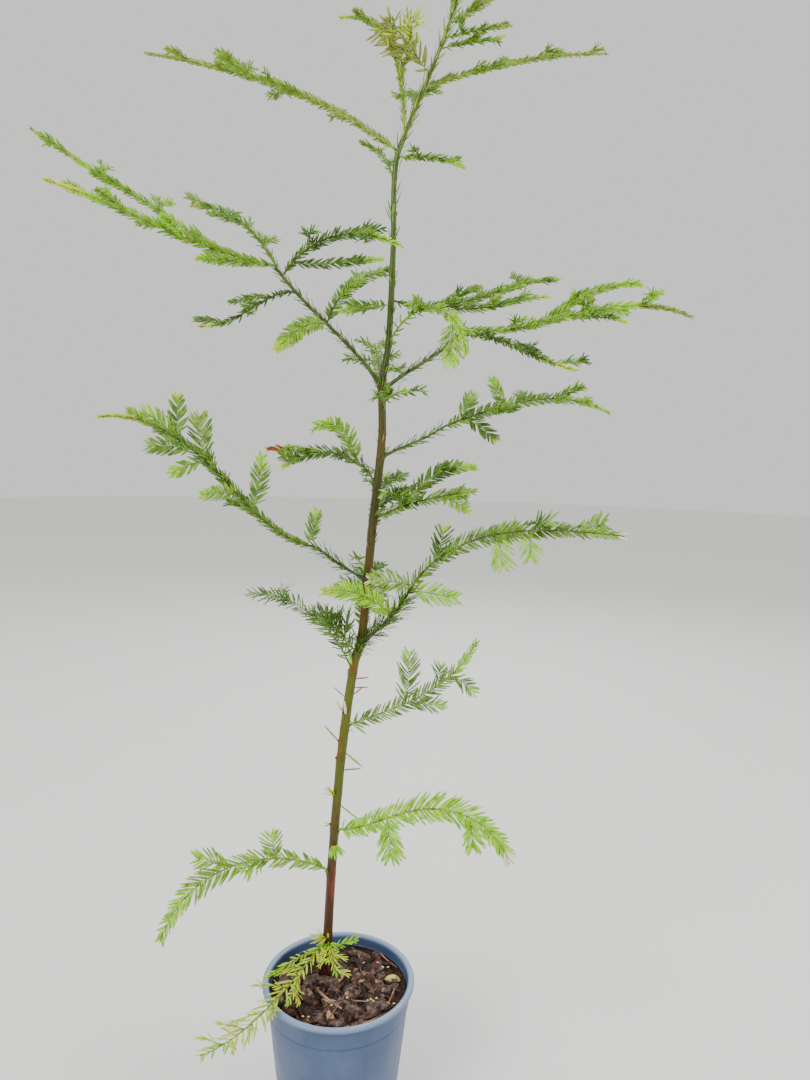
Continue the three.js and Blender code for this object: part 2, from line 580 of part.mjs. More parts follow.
function potProfile() {
  const shoulder = POT_HEIGHT - POT_COLLAR_DEPTH;
  const ledge = POT_HEIGHT - POT_LEDGE_DEPTH;
  const inside = POT_COLLAR_RADIUS - POT_WALL;
  const profile = [
    [0, 0],
    [potRadius(0) - POT_FOOT_ROUND, 0],
    [potRadius(POT_FOOT_ROUND), POT_FOOT_ROUND],
    [potRadius(shoulder), shoulder],
    [POT_COLLAR_RADIUS, shoulder + POT_COLLAR_STEP],
    [POT_COLLAR_RADIUS, POT_HEIGHT - POT_RIM_DEPTH],
    [POT_RIM_RADIUS - POT_RIM_EASE, POT_HEIGHT - POT_RIM_DEPTH],
    [POT_RIM_RADIUS, POT_HEIGHT - POT_RIM_DEPTH + POT_RIM_EASE],
    [POT_RIM_RADIUS, POT_HEIGHT - POT_LIP_ROUND],
    [POT_RIM_RADIUS - POT_LIP_ROUND, POT_HEIGHT],
    [inside + POT_RIM_EASE, POT_HEIGHT],
    [inside, POT_HEIGHT - POT_RIM_EASE],
    [inside, ledge],
    [potRadius(ledge) - POT_WALL, ledge - POT_COLLAR_STEP],
    [potRadius(shoulder) - POT_WALL, shoulder],
    [potRadius(POT_FLOOR) - POT_WALL, POT_FLOOR],
    [0, POT_FLOOR],
  ];
  return profile.map(([radius, height]) => new THREE.Vector2(radius, height));
}

// The lumps of the mulch: crossed waves, level round the stem's foot and at the wall.
function soilRelief(x, y) {
  const fromStem = Math.hypot(x - STEM_SWAY[0][1], y - STEM_BACK);
  const fromWall = CHIP_REACH + SOIL_FADE - Math.hypot(x, y);
  const room = Math.min(fromStem - FOOT_CLEARING, fromWall);
  const fine = Math.sin(x / SOIL_FINE_WAVES[0]) * Math.cos(y / SOIL_FINE_WAVES[1]);
  const coarse = Math.sin(x / SOIL_COARSE_WAVES[0] - y / SOIL_COARSE_WAVES[1]);
  return SOIL_RELIEF * THREE.MathUtils.clamp(room / SOIL_FADE, 0, 1) * (fine + coarse);
}

function soilBody() {
  const inside = (height) => potRadius(height) - POT_WALL - CLEARANCE;
  const bottom = POT_FLOOR + CLEARANCE;
  const profile = [new THREE.Vector2(0, bottom), new THREE.Vector2(inside(bottom), bottom)];
  for (let ring = SOIL_RINGS; ring >= 0; ring -= 1) {
    profile.push(new THREE.Vector2((inside(SOIL_TOP) * ring) / SOIL_RINGS, SOIL_TOP));
  }
  const geometry = lathe(profile);
  const position = geometry.attributes.position;
  for (let i = 0; i < position.count; i += 1) {
    if (position.getZ(i) > SOIL_TOP - 1) {
      position.setZ(i, SOIL_TOP + soilRelief(position.getX(i), position.getY(i)));
    }
  }
  return solidFrom(geometry);
}

// The mulch with larger chips of bark half sunk in it at seeded places and angles.
function mulchSolid() {
  const random = randomFrom(CHIP_SEED);
  const tilt = () => radians(CHIP_TILT) * (2 * random() - 1);
  let mulch = soilBody();
  let chips = 0;
  while (chips < CHIP_COUNT) {
    const x = CHIP_REACH * (2 * random() - 1);
    const y = CHIP_REACH * (2 * random() - 1);
    const size = CHIP_SIZE.map((side) => side * THREE.MathUtils.lerp(...CHIP_SIZE_SHARES, random()));
    const turn = new THREE.Euler(tilt(), tilt(), Math.PI * random());
    const fromStem = Math.hypot(x - STEM_SWAY[0][1], y - STEM_BACK);
    if (Math.hypot(x, y) < CHIP_REACH && fromStem > FOOT_CLEARING + CHIP_SIZE[2]) {
      mulch = fuse(mulch, (swell) => {
        const chip = new THREE.BoxGeometry(...size).scale(swell, swell, swell);
        chip.applyMatrix4(new THREE.Matrix4().makeRotationFromEuler(turn));
        return solidFrom(chip.translate(x, y, SOIL_TOP + soilRelief(x, y)));
      });
      chips += 1;
    }
  }
  return mulch;
}

// The stem, in stations no further apart than its step and one at each height of its sway.
function stemSolid() {
  const heights = [0];
  for (let i = 1; i < STEM_SWAY.length; i += 1) {
    const [below, above] = [STEM_SWAY[i - 1][0], STEM_SWAY[i][0]];
    const steps = Math.ceil((above - below) / STEM_STEP);
    for (let step = 1; step <= steps; step += 1) {
      heights.push(THREE.MathUtils.lerp(below, above, step / steps));
    }
  }
  const stations = [];
  for (const height of heights) {
    const forward = height === 0 ? UP.clone() : stemDirection(height);
    const side = new THREE.Vector3(1, 0, 0).addScaledVector(forward, -forward.x).normalize();
    const up = forward.clone().cross(side);
    const radius = stemRadius(height);
    const centre = stemPoint(height);
    stations.push({ centre, forward, side, up, across: radius, through: radius, lean: 0 });
  }
  return solidFrom(sweep(roundSection(STEM_SIDES), stations));
}

// The stem at a height, or a bough at a share of its length, as a limb that carries shoots.
const boughPaths = new Map();

function stemLimb(height) {
  return {
    centre: stemPoint(height),
    forward: stemDirection(height),
    radius: stemRadius(height),
    isTip: height === STEM_HEIGHT,
  };
}

function boughLimb(name, share) {
  const { path, radii } = boughPaths.get(name);
  return {
    centre: pointOn(path, share),
    forward: direction(path.bearing, riseAt(path.rise, share)),
    radius: THREE.MathUtils.lerp(...radii, share),
    isTip: share === 1,
  };
}

// The paths that a shoot could take from a limb, the nearest root first.
function pathsFrom(limb, shoot, radius) {
  const forward = direction(shoot.bearing, shoot.rise[0]);
  return ROOT_GAPS.map((gap) => growPath(rootOn(limb, forward, radius, gap), shoot));
}

function limbSolid(path, radii) {
  const stations = [];
  for (let step = 0; step <= LIMB_STEPS; step += 1) {
    const share = step / LIMB_STEPS;
    const radius = THREE.MathUtils.lerp(...radii, share);
    stations.push(stationOn(path, share, 0, radius, radius, 0));
  }
  return solidFrom(sweep(roundSection(LIMB_SIDES), stations));
}

// A bough starts as near the stem as is clear of it, and tapers to its tip.
function boughSolid(bough) {
  const paths = pathsFrom(stemLimb(bough.at), bough, bough.radii[0]);
  const path = paths.find((candidate) => isClear(limbSolid(candidate, bough.radii)));
  boughPaths.set(bough.name, { path, radii: bough.radii });
  return limbSolid(path, bough.radii);
}

// A blade whose needles start where they are clear of every neighbour, if any do.
function clearBlade(path, shoot, pitch, swell) {
  const blades = BARE_STARTS.map((bare) => () => (
    blade(path, shoot.needle, shoot.roll, pitch, bare, swell)
  ));
  return blades.find((make) => isClear(make()))?.();
}

// The path of a mass's first shoot, from the nearest root that clears its limb.
function mainPath(mass) {
  const first = mass.shoots[0];
  const limb = mass.on === "stem" ? stemLimb(mass.at) : boughLimb(mass.on, mass.at);
  const paths = pathsFrom(limb, first, twigRadius(first.length));
  return paths.find((path) => clearBlade(path, first, AXIS_PITCH, 1));
}

// A mass: its shoots and their side sprays, fused where they spring from each other. What
// would touch a neighbour is left out.
function foliageMass(mass, massIndex) {
  const main = mainPath(mass);
  let body = clearBlade(main, mass.shoots[0], AXIS_PITCH, 1);
  const grow = (path, shoot, pitch) => {
    body = fuse(body, (swell) => clearBlade(path, shoot, pitch, swell));
  };
  mass.shoots.forEach((shoot, shootIndex) => {
    const path = shootIndex === 0 ? main : growPath(pointOn(main, shoot.at), shoot);
    if (shootIndex > 0) {
      grow(path, shoot, AXIS_PITCH);
    }
    for (const spray of sideSprays(shoot, 100 * massIndex + shootIndex + 1)) {
      grow(growPath(pointOn(path, spray.at), spray), spray, SHOOT_PITCH);
    }
  });
  return body;
}

addNode("pot", solidFrom(lathe(potProfile())), COLOURS.pot, 0.45);
addNode("mulch", mulchSolid(), COLOURS.mulch, 0.95);
addNode("stem", stemSolid(), COLOURS.stem, 0.8);
for (const bough of BOUGHS) {
  addNode(bough.name, boughSolid(bough), COLOURS.bough, 0.8);
}
FOLIAGE.forEach((mass, massIndex) => {
  const colour = mass.name.includes("basal") ? COLOURS.youngFoliage : COLOURS.foliage;
  addNode(mass.name, foliageMass(mass, massIndex), colour, 0.7);
});

export default group;
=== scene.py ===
import math
from collections import namedtuple

import bpy
import numpy as np
from mathutils import Matrix, Vector


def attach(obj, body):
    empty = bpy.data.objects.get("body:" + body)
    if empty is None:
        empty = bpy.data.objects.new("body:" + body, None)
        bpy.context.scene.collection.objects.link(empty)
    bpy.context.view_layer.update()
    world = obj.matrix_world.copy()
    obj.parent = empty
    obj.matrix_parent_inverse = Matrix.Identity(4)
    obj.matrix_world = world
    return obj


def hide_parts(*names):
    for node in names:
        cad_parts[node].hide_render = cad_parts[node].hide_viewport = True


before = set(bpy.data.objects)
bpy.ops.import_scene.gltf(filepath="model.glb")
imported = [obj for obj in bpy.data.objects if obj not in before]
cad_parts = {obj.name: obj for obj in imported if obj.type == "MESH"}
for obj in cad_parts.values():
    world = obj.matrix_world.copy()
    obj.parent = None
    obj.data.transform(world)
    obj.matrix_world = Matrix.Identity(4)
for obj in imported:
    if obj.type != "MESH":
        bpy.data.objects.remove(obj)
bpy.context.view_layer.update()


# The view: from the front, a little above the middle of the plant, turned slightly down and
# with the slight roll of a camera held by hand. The floor is plain and pale, and the light
# is that of a bright overcast day. Sizes below are millimetres until a mesh is made.
MM = 0.001
LENS = 27.03
SENSOR_WIDTH = 36
VIEW_POINT = (61, -818, 757)
VIEW_TURN = (82.7, 1.35)
LIT_POINT = (0, 0, 650)
LAMPS = (
    # name, place, width, power in watts
    ("front_light", (-1500, -1900, 2300), 1500, 62),
    ("side_light", (2100, -500, 1500), 1300, 22),
    ("back_light", (300, 2200, 2100), 1600, 30),
)
FLOOR_RADIUS = 9000
FLOOR_SIDES = 72


def linear(code):
    """The linear colour of an sRGB hex code: each channel over 12.92 where it is dark, and
    otherwise ((channel + 0.055) / 1.055) to the power 2.4."""
    channels = np.array([int(code[i:i + 2], 16) for i in (1, 3, 5)]) / 255
    light = ((channels + 0.055) / 1.055) ** 2.4
    return (*np.where(channels <= 0.04045, channels / 12.92, light), 1.0)


def feed(finish, socket, source):
    """Gives a socket a value, another node's output, or the first output of a node."""
    if isinstance(source, bpy.types.Node):
        source = source.outputs[0]
    if isinstance(source, bpy.types.NodeSocket):
        finish.node_tree.links.new(source, socket)
    else:
        socket.default_value = source


def add_node(finish, kind, sockets=None, stops=(), **settings):
    """Adds one shader node to a material: what feeds its sockets, the places and hex colours
    of a ramp's stops, and the node's own settings."""
    node = finish.node_tree.nodes.new("ShaderNode" + kind)
    for name, value in settings.items():
        setattr(node, name, value)
    for name, source in (sockets or {}).items():
        feed(finish, node.inputs[name], source)
    for i, (place, code) in enumerate(stops):
        ramp = node.color_ramp.elements
        stop = ramp[i] if i < 2 else ramp.new(place)
        stop.position = place
        stop.color = linear(code)
    return node


def shade(finish, **sockets):
    """Feeds the sockets of a material's shader. Underscores stand for spaces."""
    shader = finish.node_tree.nodes["Principled BSDF"]
    for name, source in sockets.items():
        feed(finish, shader.inputs[name.replace("_", " ")], source)


def new_finish(name, **sockets):
    """A material named for the real one."""
    finish = bpy.data.materials.new(name)
    finish.use_nodes = True
    shade(finish, **sockets)
    return finish


def place_in_scene(name, data):
    """An object of the scene, at the origin, that holds the given data."""
    thing = bpy.data.objects.new(name, data)
    bpy.context.scene.collection.objects.link(thing)
    return thing


def round_angles(sides):
    """Even angles round a circle: 2 pi k / sides."""
    return 2 * np.pi * np.arange(sides) / sides


camera = place_in_scene("camera", bpy.data.cameras.new("camera"))
camera.data.lens = LENS
camera.data.sensor_width = SENSOR_WIDTH
camera.matrix_world = (
    Matrix.Translation(Vector(VIEW_POINT) * MM)
    @ Matrix.Rotation(math.radians(VIEW_TURN[0]), 4, "X")
    @ Matrix.Rotation(math.radians(VIEW_TURN[1]), 4, "Z")
)
bpy.context.scene.camera = camera

for lamp_name, place, width, power in LAMPS:
    lamp = place_in_scene(lamp_name, bpy.data.lights.new(lamp_name, "AREA"))
    lamp.data.shape = "DISK"
    lamp.data.size = width * MM
    lamp.data.energy = power
    lamp.location = Vector(place) * MM
    aim = Vector(LIT_POINT) * MM - lamp.location
    lamp.rotation_euler = aim.to_track_quat("-Z", "Y").to_euler()

sky = bpy.data.worlds.new("overcast_sky")
sky.use_nodes = True
sky.node_tree.nodes["Background"].inputs["Color"].default_value = linear("#f2f2f0")
bpy.context.scene.world = sky

floor_turn = round_angles(FLOOR_SIDES)
floor_edge = np.stack([np.cos(floor_turn), np.sin(floor_turn), 0 * floor_turn], -1)
floor_mesh = bpy.data.meshes.new("floor")
floor_mesh.from_pydata((floor_edge * FLOOR_RADIUS * MM).tolist(), [], [list(range(FLOOR_SIDES))])
# Smooth pale card: nearly matt, so it only takes a soft shadow.
floor_mesh.materials.append(new_finish("pale_card", Base_Color=linear("#f0f0ee"), Roughness=0.9))
place_in_scene("floor", floor_mesh)


# The pot: a round nursery pot, injection moulded in slate-blue polypropylene. It has a thin
# tapered wall, a collar that ends in a small outside step, a wide rolled rim for stiffness,
# and a narrow ledge inside on which a second pot nests.
POT_SIDES = 160
POT_LINE = (
    # radius and height: underside, outside, rolled rim, inside
    (0, 0), (30, 0), (50, 0), (58.5, 0), (59.7, 0.15), (60.6, 0.7), (61.0, 1.5), (61.2, 2.4),
    (64.8, 36), (69.5, 81), (73.7, 121), (75.7, 141.4), (75.6, 142.2), (75.2, 142.7),
    (75.1, 143.6), (75.3, 144.3), (76.5, 144.6), (76.9, 144.9), (77.0, 145.5), (77.0, 152),
    (77.0, 162.6), (77.15, 163.6), (77.6, 164.15), (78.5, 164.4), (80.2, 164.45),
    (81.3, 164.7), (82.05, 165.3), (82.42, 166.2), (82.5, 167.2), (82.35, 168.2),
    (81.9, 169.1), (81.1, 169.7), (80.0, 169.95), (79.0, 170), (77.9, 169.95), (76.8, 169.65),
    (76.05, 169.1), (75.6, 168.2), (75.45, 167), (75.4, 163), (75.4, 158.9), (75.3, 158.2),
    (75.0, 157.8), (74.75, 157.5), (74.6, 156.9), (74.6, 145), (72, 120), (67.1, 73),
    (60.5, 10), (60.0, 3.4), (59.4, 2.6), (58.4, 2.4), (36, 2.4), (0, 2.4),
)


def closed(rings, poles):
    """Corners and faces of closed round surfaces, from their rings of corners and the pole at
    each end. Squares join the rings and a fan closes each end; seen from ahead of its path
    each ring runs counter-clockwise, so faces look out."""
    count, steps, sides = rings.shape[:3]
    first = np.arange(sides)
    after = (first + 1) % sides
    here, beside = (sides * np.arange(steps - 1)[:, None] + side for side in (first, after))
    squares = np.stack([here, beside, beside + sides, here + sides], -1).reshape(-1, 4)
    last = (steps - 1) * sides
    pole = np.full(sides, steps * sides)
    ends = np.concatenate([np.stack([after, first, pole], -1),
                           np.stack([last + first, last + after, pole + 1], -1)])
    shift = (steps * sides + 2) * np.arange(count)[:, None, None]
    faces = [(block + shift).reshape(-1, block.shape[1]) for block in (squares, ends)]
    return np.concatenate([rings.reshape(count, -1, 3), poles], 1).reshape(-1, 3), faces


def add_piece(name, corners, faces, finish, slot, nodes, smooth=True):
    """A piece of the plant from its corners in millimetres and blocks of three- or
    four-cornered faces. It rides on the root and stands for the named nodes."""
    mesh = bpy.data.meshes.new(name)
    loops = np.concatenate([block.ravel() for block in faces])
    sizes = np.concatenate([np.full(len(block), block.shape[1]) for block in faces])
    mesh.vertices.add(len(corners))
    mesh.vertices.foreach_set("co", (np.asarray(corners, float) * MM).ravel())
    mesh.loops.add(len(loops))
    mesh.loops.foreach_set("vertex_index", loops.astype(np.int32))
    mesh.polygons.add(len(sizes))
    mesh.polygons.foreach_set("loop_start", (np.cumsum(sizes) - sizes).astype(np.int32))
    mesh.update(calc_edges=True)
    mesh.polygons.foreach_set("use_smooth", np.full(len(sizes), smooth))
    mesh.materials.append(finish)
    piece = place_in_scene(name, mesh)
    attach(piece, "root")
    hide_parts(*nodes)


def spin(line, sides):
    """A line of radii and heights turned about the upright axis: a corner is (radius cos a,
    radius sin a, height). The line's two ends lie on the axis and become the poles."""
    line = np.asarray(line, float)
    turn = round_angles(sides)
    radius, height = line[1:-1, :1], line[1:-1, 1:]
    rings = np.stack([radius * np.cos(turn), radius * np.sin(turn), height + 0 * turn], -1)
    return closed(rings[None], [[(0, 0, line[0, 1]), (0, 0, line[-1, 1])]])


# Moulded polypropylene, slate blue: a satin skin, slightly greyer in clouds of 40 mm where
# dust has dried on it, with upright scuffs 2 mm wide from stacking.
pot_skin = new_finish("moulded_polypropylene_slate_blue", Specular_IOR_Level=0.45)
place = add_node(pot_skin, "TexCoord").outputs["Object"]
dust_place = add_node(pot_skin, "Mapping", {"Vector": place, "Scale": (1, 1, 0.5)})
dust = add_node(pot_skin, "TexNoise",
                {"Vector": dust_place, "Scale": 26, "Detail": 5, "Roughness": 0.6})
dust_tone = add_node(pot_skin, "ValToRGB", {"Fac": dust},
                     ((0.3, "#3e5071"), (0.52, "#46587a"), (0.75, "#526585")))
# Painted highlight: the top 4 mm of the rolled rim is painted paler, in place of the sky's
# reflection on it.
rim_height = add_node(pot_skin, "SeparateXYZ", {"Vector": place}).outputs["Z"]
rim_highlight_share = add_node(pot_skin, "MapRange", {"Value": rim_height, "From Min": 165.5 * MM,
                                            "From Max": 169.8 * MM, "To Max": 0.7})
rim_highlight_tone = add_node(pot_skin, "Mix", {0: rim_highlight_share, 6: dust_tone, 7: linear("#93a9c4")},
                    data_type="RGBA")
scuff_place = add_node(pot_skin, "Mapping", {"Vector": place, "Scale": (1, 1, 0.06)})
scuff = add_node(pot_skin, "TexNoise", {"Vector": scuff_place, "Scale": 420, "Detail": 3})
scuff_gloss = add_node(pot_skin, "MapRange", {"Value": scuff, "From Min": 0.45,
                                              "From Max": 0.8, "To Min": 0.36, "To Max": 0.52})
# The mould texture is about 0.1 mm and is drawn at 0.8 mm so that it shows.
grain = add_node(pot_skin, "TexNoise", {"Vector": place, "Scale": 1250, "Detail": 2})
pot_bump = add_node(pot_skin, "Bump", {"Height": grain, "Strength": 0.12, "Distance": 0.2 * MM})
shade(pot_skin, Base_Color=rim_highlight_tone.outputs[2], Roughness=scuff_gloss, Normal=pot_bump)
add_piece("nursery_pot", *spin(POT_LINE, POT_SIDES), pot_skin, "pot_plastic", ["pot"])


# The potting mix: a damp body of peat and fine bark that fills the pot to a little under
# its rim. It is poured in, so its top is lumpy and a little higher at the wall, which it
# keeps 0.3 mm clear of.
MIX_TOP = 152
MIX_DISH = 5.6
MIX_RELIEF = 1.3
MIX_WALL = 74.3
MIX_SIDES = 150
MIX_RINGS = 60
FOOT_PLACE = (-17, 30)


def ripple(points, length, count, seed):
    """Relief from waves that cross: the sum of sines of about one wavelength, each in its own
    seeded direction and phase, over the square root of their number."""
    random = np.random.default_rng(seed)
    way = random.normal(size=(count, points.shape[-1]))
    way *= random.uniform(0.7, 1.4, (count, 1)) / np.linalg.norm(way, axis=1, keepdims=True)
    phase = points @ way.T * (2 * np.pi / length) + random.uniform(0, 2 * np.pi, count)
    return np.sin(phase).sum(-1) / math.sqrt(count)


def mix_height(points):
    """The height of the mix at level places: its top, plus a dish that rises as the cube of
    the way to the wall, plus relief in waves of 26 and 7 mm, which fades out over 8 mm at
    the wall and round the stem's foot."""
    level = points[..., :2]
    radius = np.hypot(level[..., 0], level[..., 1])
    from_foot = np.hypot(level[..., 0] - FOOT_PLACE[0], level[..., 1] - FOOT_PLACE[1])
    fade = np.clip(np.minimum(MIX_WALL - radius, from_foot - 5) / 8, 0, 1)
    relief = MIX_RELIEF * fade * (ripple(level, 26, 7, 3) + 0.6 * ripple(level, 7, 9, 4))
    return MIX_TOP + MIX_DISH * (radius / MIX_WALL) ** 3 + relief


mix_line = [(0, 2.7), (58.2, 2.7), (60.3, 12), (72.6, 130), (MIX_WALL, 145.2),
            (MIX_WALL, MIX_TOP - 2)]
mix_line += [(MIX_WALL * ring / MIX_RINGS, MIX_TOP) for ring in range(MIX_RINGS, -1, -1)]
mix_corners, mix_faces = spin(mix_line, MIX_SIDES)
mix_top = mix_corners[:, 2] > MIX_TOP - 1
mix_corners[mix_top, 2] = mix_height(mix_corners[mix_top])

# Damp peat and bark fines: near black-brown in grains of 2 mm, matt, with fibres of 2 mm.
mix_skin = new_finish("damp_potting_mix", Specular_IOR_Level=0.25, Roughness=0.9)
place = add_node(mix_skin, "TexCoord").outputs["Object"]
grains = add_node(mix_skin, "TexVoronoi", {"Vector": place, "Scale": 420})
grain_tone = add_node(mix_skin, "ValToRGB", {"Fac": grains.outputs["Color"]},
                      ((0.15, "#1d120d"), (0.5, "#33211a"), (0.85, "#4d352a")))
fibres = add_node(mix_skin, "TexNoise", {"Vector": place, "Scale": 600, "Detail": 4})
mix_bump = add_node(mix_skin, "Bump", {"Height": fibres, "Strength": 0.8, "Distance": 1.2 * MM})
shade(mix_skin, Base_Color=grain_tone, Normal=mix_bump)
add_piece("potting_mix", mix_corners, mix_faces, mix_skin, "bark_mulch", ["mulch"])


# The mulch: composted pine bark, shredded to flat splinters and nuggets of 4 to 25 mm, which
# lie loosely over each other at all angles. They are mostly dark red-brown, with mauve-brown
# weathered ones and a few pale ones that show clean inner bark.
CHIP_SIDES = 8
CHIP_LEVELS = np.array([-0.5, -0.28, 0.25, 0.5])
CHIP_SHARES = np.array([0.72, 1.0, 0.96, 0.66])
CHIP_POLES = np.array([-0.55, 0.5])
CHIP_LENGTHS = (3, 26)
CHIP_TILT = 0.28
CHIP_REACH = 73.2
CHIP_SEED = 40
CHIPS = (
    # name, count, length and its spread, width share, thickness, colours from dark to light
    ("dark", 210, 16, 6.5, 0.4, 2.6, ("#140b08", "#2a1912", "#462d23")),
    ("red_brown", 130, 22, 7.5, 0.32, 2.8, ("#2a1510", "#4e2e22", "#7a503d")),
    ("mauve", 95, 19, 6.0, 0.54, 3.4, ("#2e2120", "#57433c", "#8a7266")),
    ("salmon", 22, 19, 6.0, 0.42, 2.6, ("#5a3a2c", "#8c6450", "#bc9680")),
    ("pale", 30, 15, 6.0, 0.36, 2.2, ("#7c5a44", "#b08c6c", "#d8bfa0")),
)


def turn_plane(points, angle, first, second):
    """Turns points, by one angle for each chip, in the plane of two of their coordinates:
    first cos a - second sin a, and first sin a + second cos a."""
    cos, sin = np.cos(angle)[:, None], np.sin(angle)[:, None]
    a, b = points[..., first].copy(), points[..., second].copy()
    points[..., first], points[..., second] = a * cos - b * sin, a * sin + b * cos


def bark_chips(count, length, spread, share, thick, random):
    """Corners and faces of bark chips. Each is a stack of four rings of eight corners: a
    corner is its half length along, its half width across, its level up, times a seeded
    share that makes the outline ragged. The stack is tilted, turned and laid on the mix."""
    long = np.clip(random.lognormal(math.log(length), spread / length, count), *CHIP_LENGTHS)
    half = np.stack([long / 2, long / 2 * share * random.uniform(0.6, 1.5, count)], -1)
    half[:, 1] = np.minimum(half[:, 1], half[:, 0])
    deep = thick * random.uniform(0.6, 1.5, count)
    turn = round_angles(CHIP_SIDES)
    ragged = random.uniform(0.66, 1.12, (count, 1, CHIP_SIDES)) * CHIP_SHARES[:, None]
    ragged = ragged * random.uniform(0.9, 1.08, (count, len(CHIP_LEVELS), CHIP_SIDES))
    x = half[:, :1, None] * np.cos(turn) * ragged
    y = half[:, 1:, None] * np.sin(turn) * ragged
    curl = random.normal(0, 0.010, (count, 1, 1)) * x ** 2
    levels = CHIP_LEVELS[:, None] + random.uniform(-0.12, 0.12, x.shape)
    rings = np.stack([x, y, deep[:, None, None] * levels + curl], -1)
    poles = np.zeros((count, 2, 3))
    poles[..., 2] = CHIP_POLES * deep[:, None]
    corners, faces = closed(rings, poles)
    corners = corners.reshape(count, -1, 3)
    tilt, pitch = random.normal(0, CHIP_TILT, (2, count))
    turn_plane(corners, tilt, 1, 2)
    turn_plane(corners, pitch, 2, 0)
    turn_plane(corners, random.uniform(0, 2 * np.pi, count), 0, 1)
    radius = (CHIP_REACH - half[:, 0]) * np.sqrt(random.uniform(0, 1, count))
    around = random.uniform(0, 2 * np.pi, count)
    centre = np.stack([radius * np.cos(around), radius * np.sin(around), 0 * radius], -1)
    # Chips that would cover the stem are pushed out from it.
    away = centre[:, :2] - FOOT_PLACE
    gap = np.maximum(np.linalg.norm(away, axis=1, keepdims=True), 0.1)
    centre[:, :2] += away / gap * np.maximum(8 + half[:, :1] * 0.6 - gap, 0)
    centre[:, 2] = mix_height(centre) + random.uniform(0.1, 3.2, count)
    return (corners + centre[:, None]).reshape(-1, 3), faces


def mottled_finish(name, blotches, stops, **sockets):
    """A finish whose colour wanders in blotches: noise with the given settings on the piece's
    own coordinates, read through a ramp of colours."""
    finish = new_finish(name, **sockets)
    place = add_node(finish, "TexCoord").outputs["Object"]
    blotch = add_node(finish, "TexNoise", {"Vector": place} | blotches)
    shade(finish, Base_Color=add_node(finish, "ValToRGB", {"Fac": blotch}, stops))
    return finish


for i, (tone_name, count, length, spread, share, thick, tones) in enumerate(CHIPS):
    # Shredded bark: blotches of 4 mm and short fibres of 1 mm, damp and so a little glossy
    # on the crests.
    chip_skin = mottled_finish("pine_bark_chips_" + tone_name,
                               {"Scale": 230, "Detail": 6, "Roughness": 0.65},
                               zip((0.34, 0.5, 0.68), tones),
                               Specular_IOR_Level=0.35, Roughness=0.7)
    place = add_node(chip_skin, "TexCoord").outputs["Object"]
    fibre = add_node(chip_skin, "TexWave",
                     {"Vector": place, "Scale": 300, "Distortion": 9, "Detail": 3})
    shade(chip_skin, Normal=add_node(chip_skin, "Bump", {
        "Height": fibre.outputs["Fac"], "Strength": 0.5, "Distance": 0.4 * MM}))
    chip_random = np.random.default_rng(CHIP_SEED + i)
    chips = bark_chips(count, length, spread, share, thick, chip_random)
    add_piece("bark_chips_" + tone_name, *chips, chip_skin, "bark_mulch", ["mulch"], smooth=False)


# Litter on the mulch: thin dry stalks and splinters that lie on the chips, one fallen
# yellow-green leaf, and tiny seedlings of two round leaves.
STALKS = (
    # two ends on the mulch, height of each end above the mix, radius
    ((21, 33), (39, -10), 7, 5, 0.75), ((62, -5), (52, -37), 8, 4, 0.8),
    ((39, 12), (66, -8), 5, 5, 0.45), ((-44, -14), (-52, -42), 6, 4, 1.3),
    ((9, 66), (21, 44), 5, 6, 0.9), ((-58, 36), (-34, 49), 5, 6, 0.8),
    ((-66, 20), (-49, 44), 5, 5, 1.2), ((-6, -48), (4, -24), 4, 6, 0.5),
    ((-2, -17), (34, -22), 4, 5, 0.9), ((44, 52), (63, 30), 6, 5, 0.8),
    ((-30, -60), (-4, -66), 4, 4, 0.6), ((30, -56), (52, -42), 5, 4, 0.6),
    ((-67, -6), (-58, -31), 4, 5, 0.7), ((-12, 66), (-38, 55), 5, 4, 0.7),
    ((-24, -6), (6, -34), 7, 6, 1.5),
)
STALK_STEPS = 14
STALK_SIDES = 6
SEEDLINGS = ((36, -22), (39, -20), (13, -20), (-30, -50), (58, -28), (50, 30), (-8, -31), (22, 40))
LEAF_ENDS = ((49, 14, 7), (68, 10, 5))
UP = np.array([0.0, 0.0, 1.0])


def unit(ways):
    """Directions, each over its own length."""
    return ways / np.linalg.norm(ways, axis=-1, keepdims=True)


def square_to(forward, level):
    """The direction nearest to level that is square to forward: level less the share of it
    that runs along forward, over its length."""
    return unit(level - forward * (level * forward).sum(-1, keepdims=True))


def swung(first, second, angle):
    """The direction at an angle from the first way towards the second, which is square to
    it: first cos a + second sin a."""
    return first * np.cos(angle) + second * np.sin(angle)


def tubes(centres, level, radii, sides, forward=None):
    """Many round limbs at once. A corner is the centre plus its radius times (level cos a +
    up sin a), where up is square to both the limb's own direction and its level side. There
    is one radius for each ring, or one for each corner of it."""
    forward = unit(np.gradient(centres, axis=1)) if forward is None else forward
    side = square_to(forward, level)
    turn = round_angles(sides)[:, None]
    around = swung(side[:, :, None], np.cross(forward, side)[:, :, None], turn)
    return closed(centres[:, :, None] + radii[..., None] * around, centres[:, [0, -1]])


# A stalk runs straight between its ends, bowed by a seeded arch, and tapers a little.
stalk_ends = np.array([[(*a, ha), (*b, hb)] for a, b, ha, hb, _ in STALKS], float)
stalk_ends[..., 2] += mix_height(stalk_ends)
share = np.linspace(0, 1, STALK_STEPS)[:, None]
bow = np.random.default_rng(9).normal(0, 1.5, (len(STALKS), 1, 3)) * (1, 1, 0.3)
stalk_line = (stalk_ends[:, :1] * (1 - share) + stalk_ends[:, 1:] * share
              + 4 * share * (1 - share) * bow)
stalk_radii = np.array([row[-1] for row in STALKS])[:, None] * np.linspace(1, 0.7, STALK_STEPS)
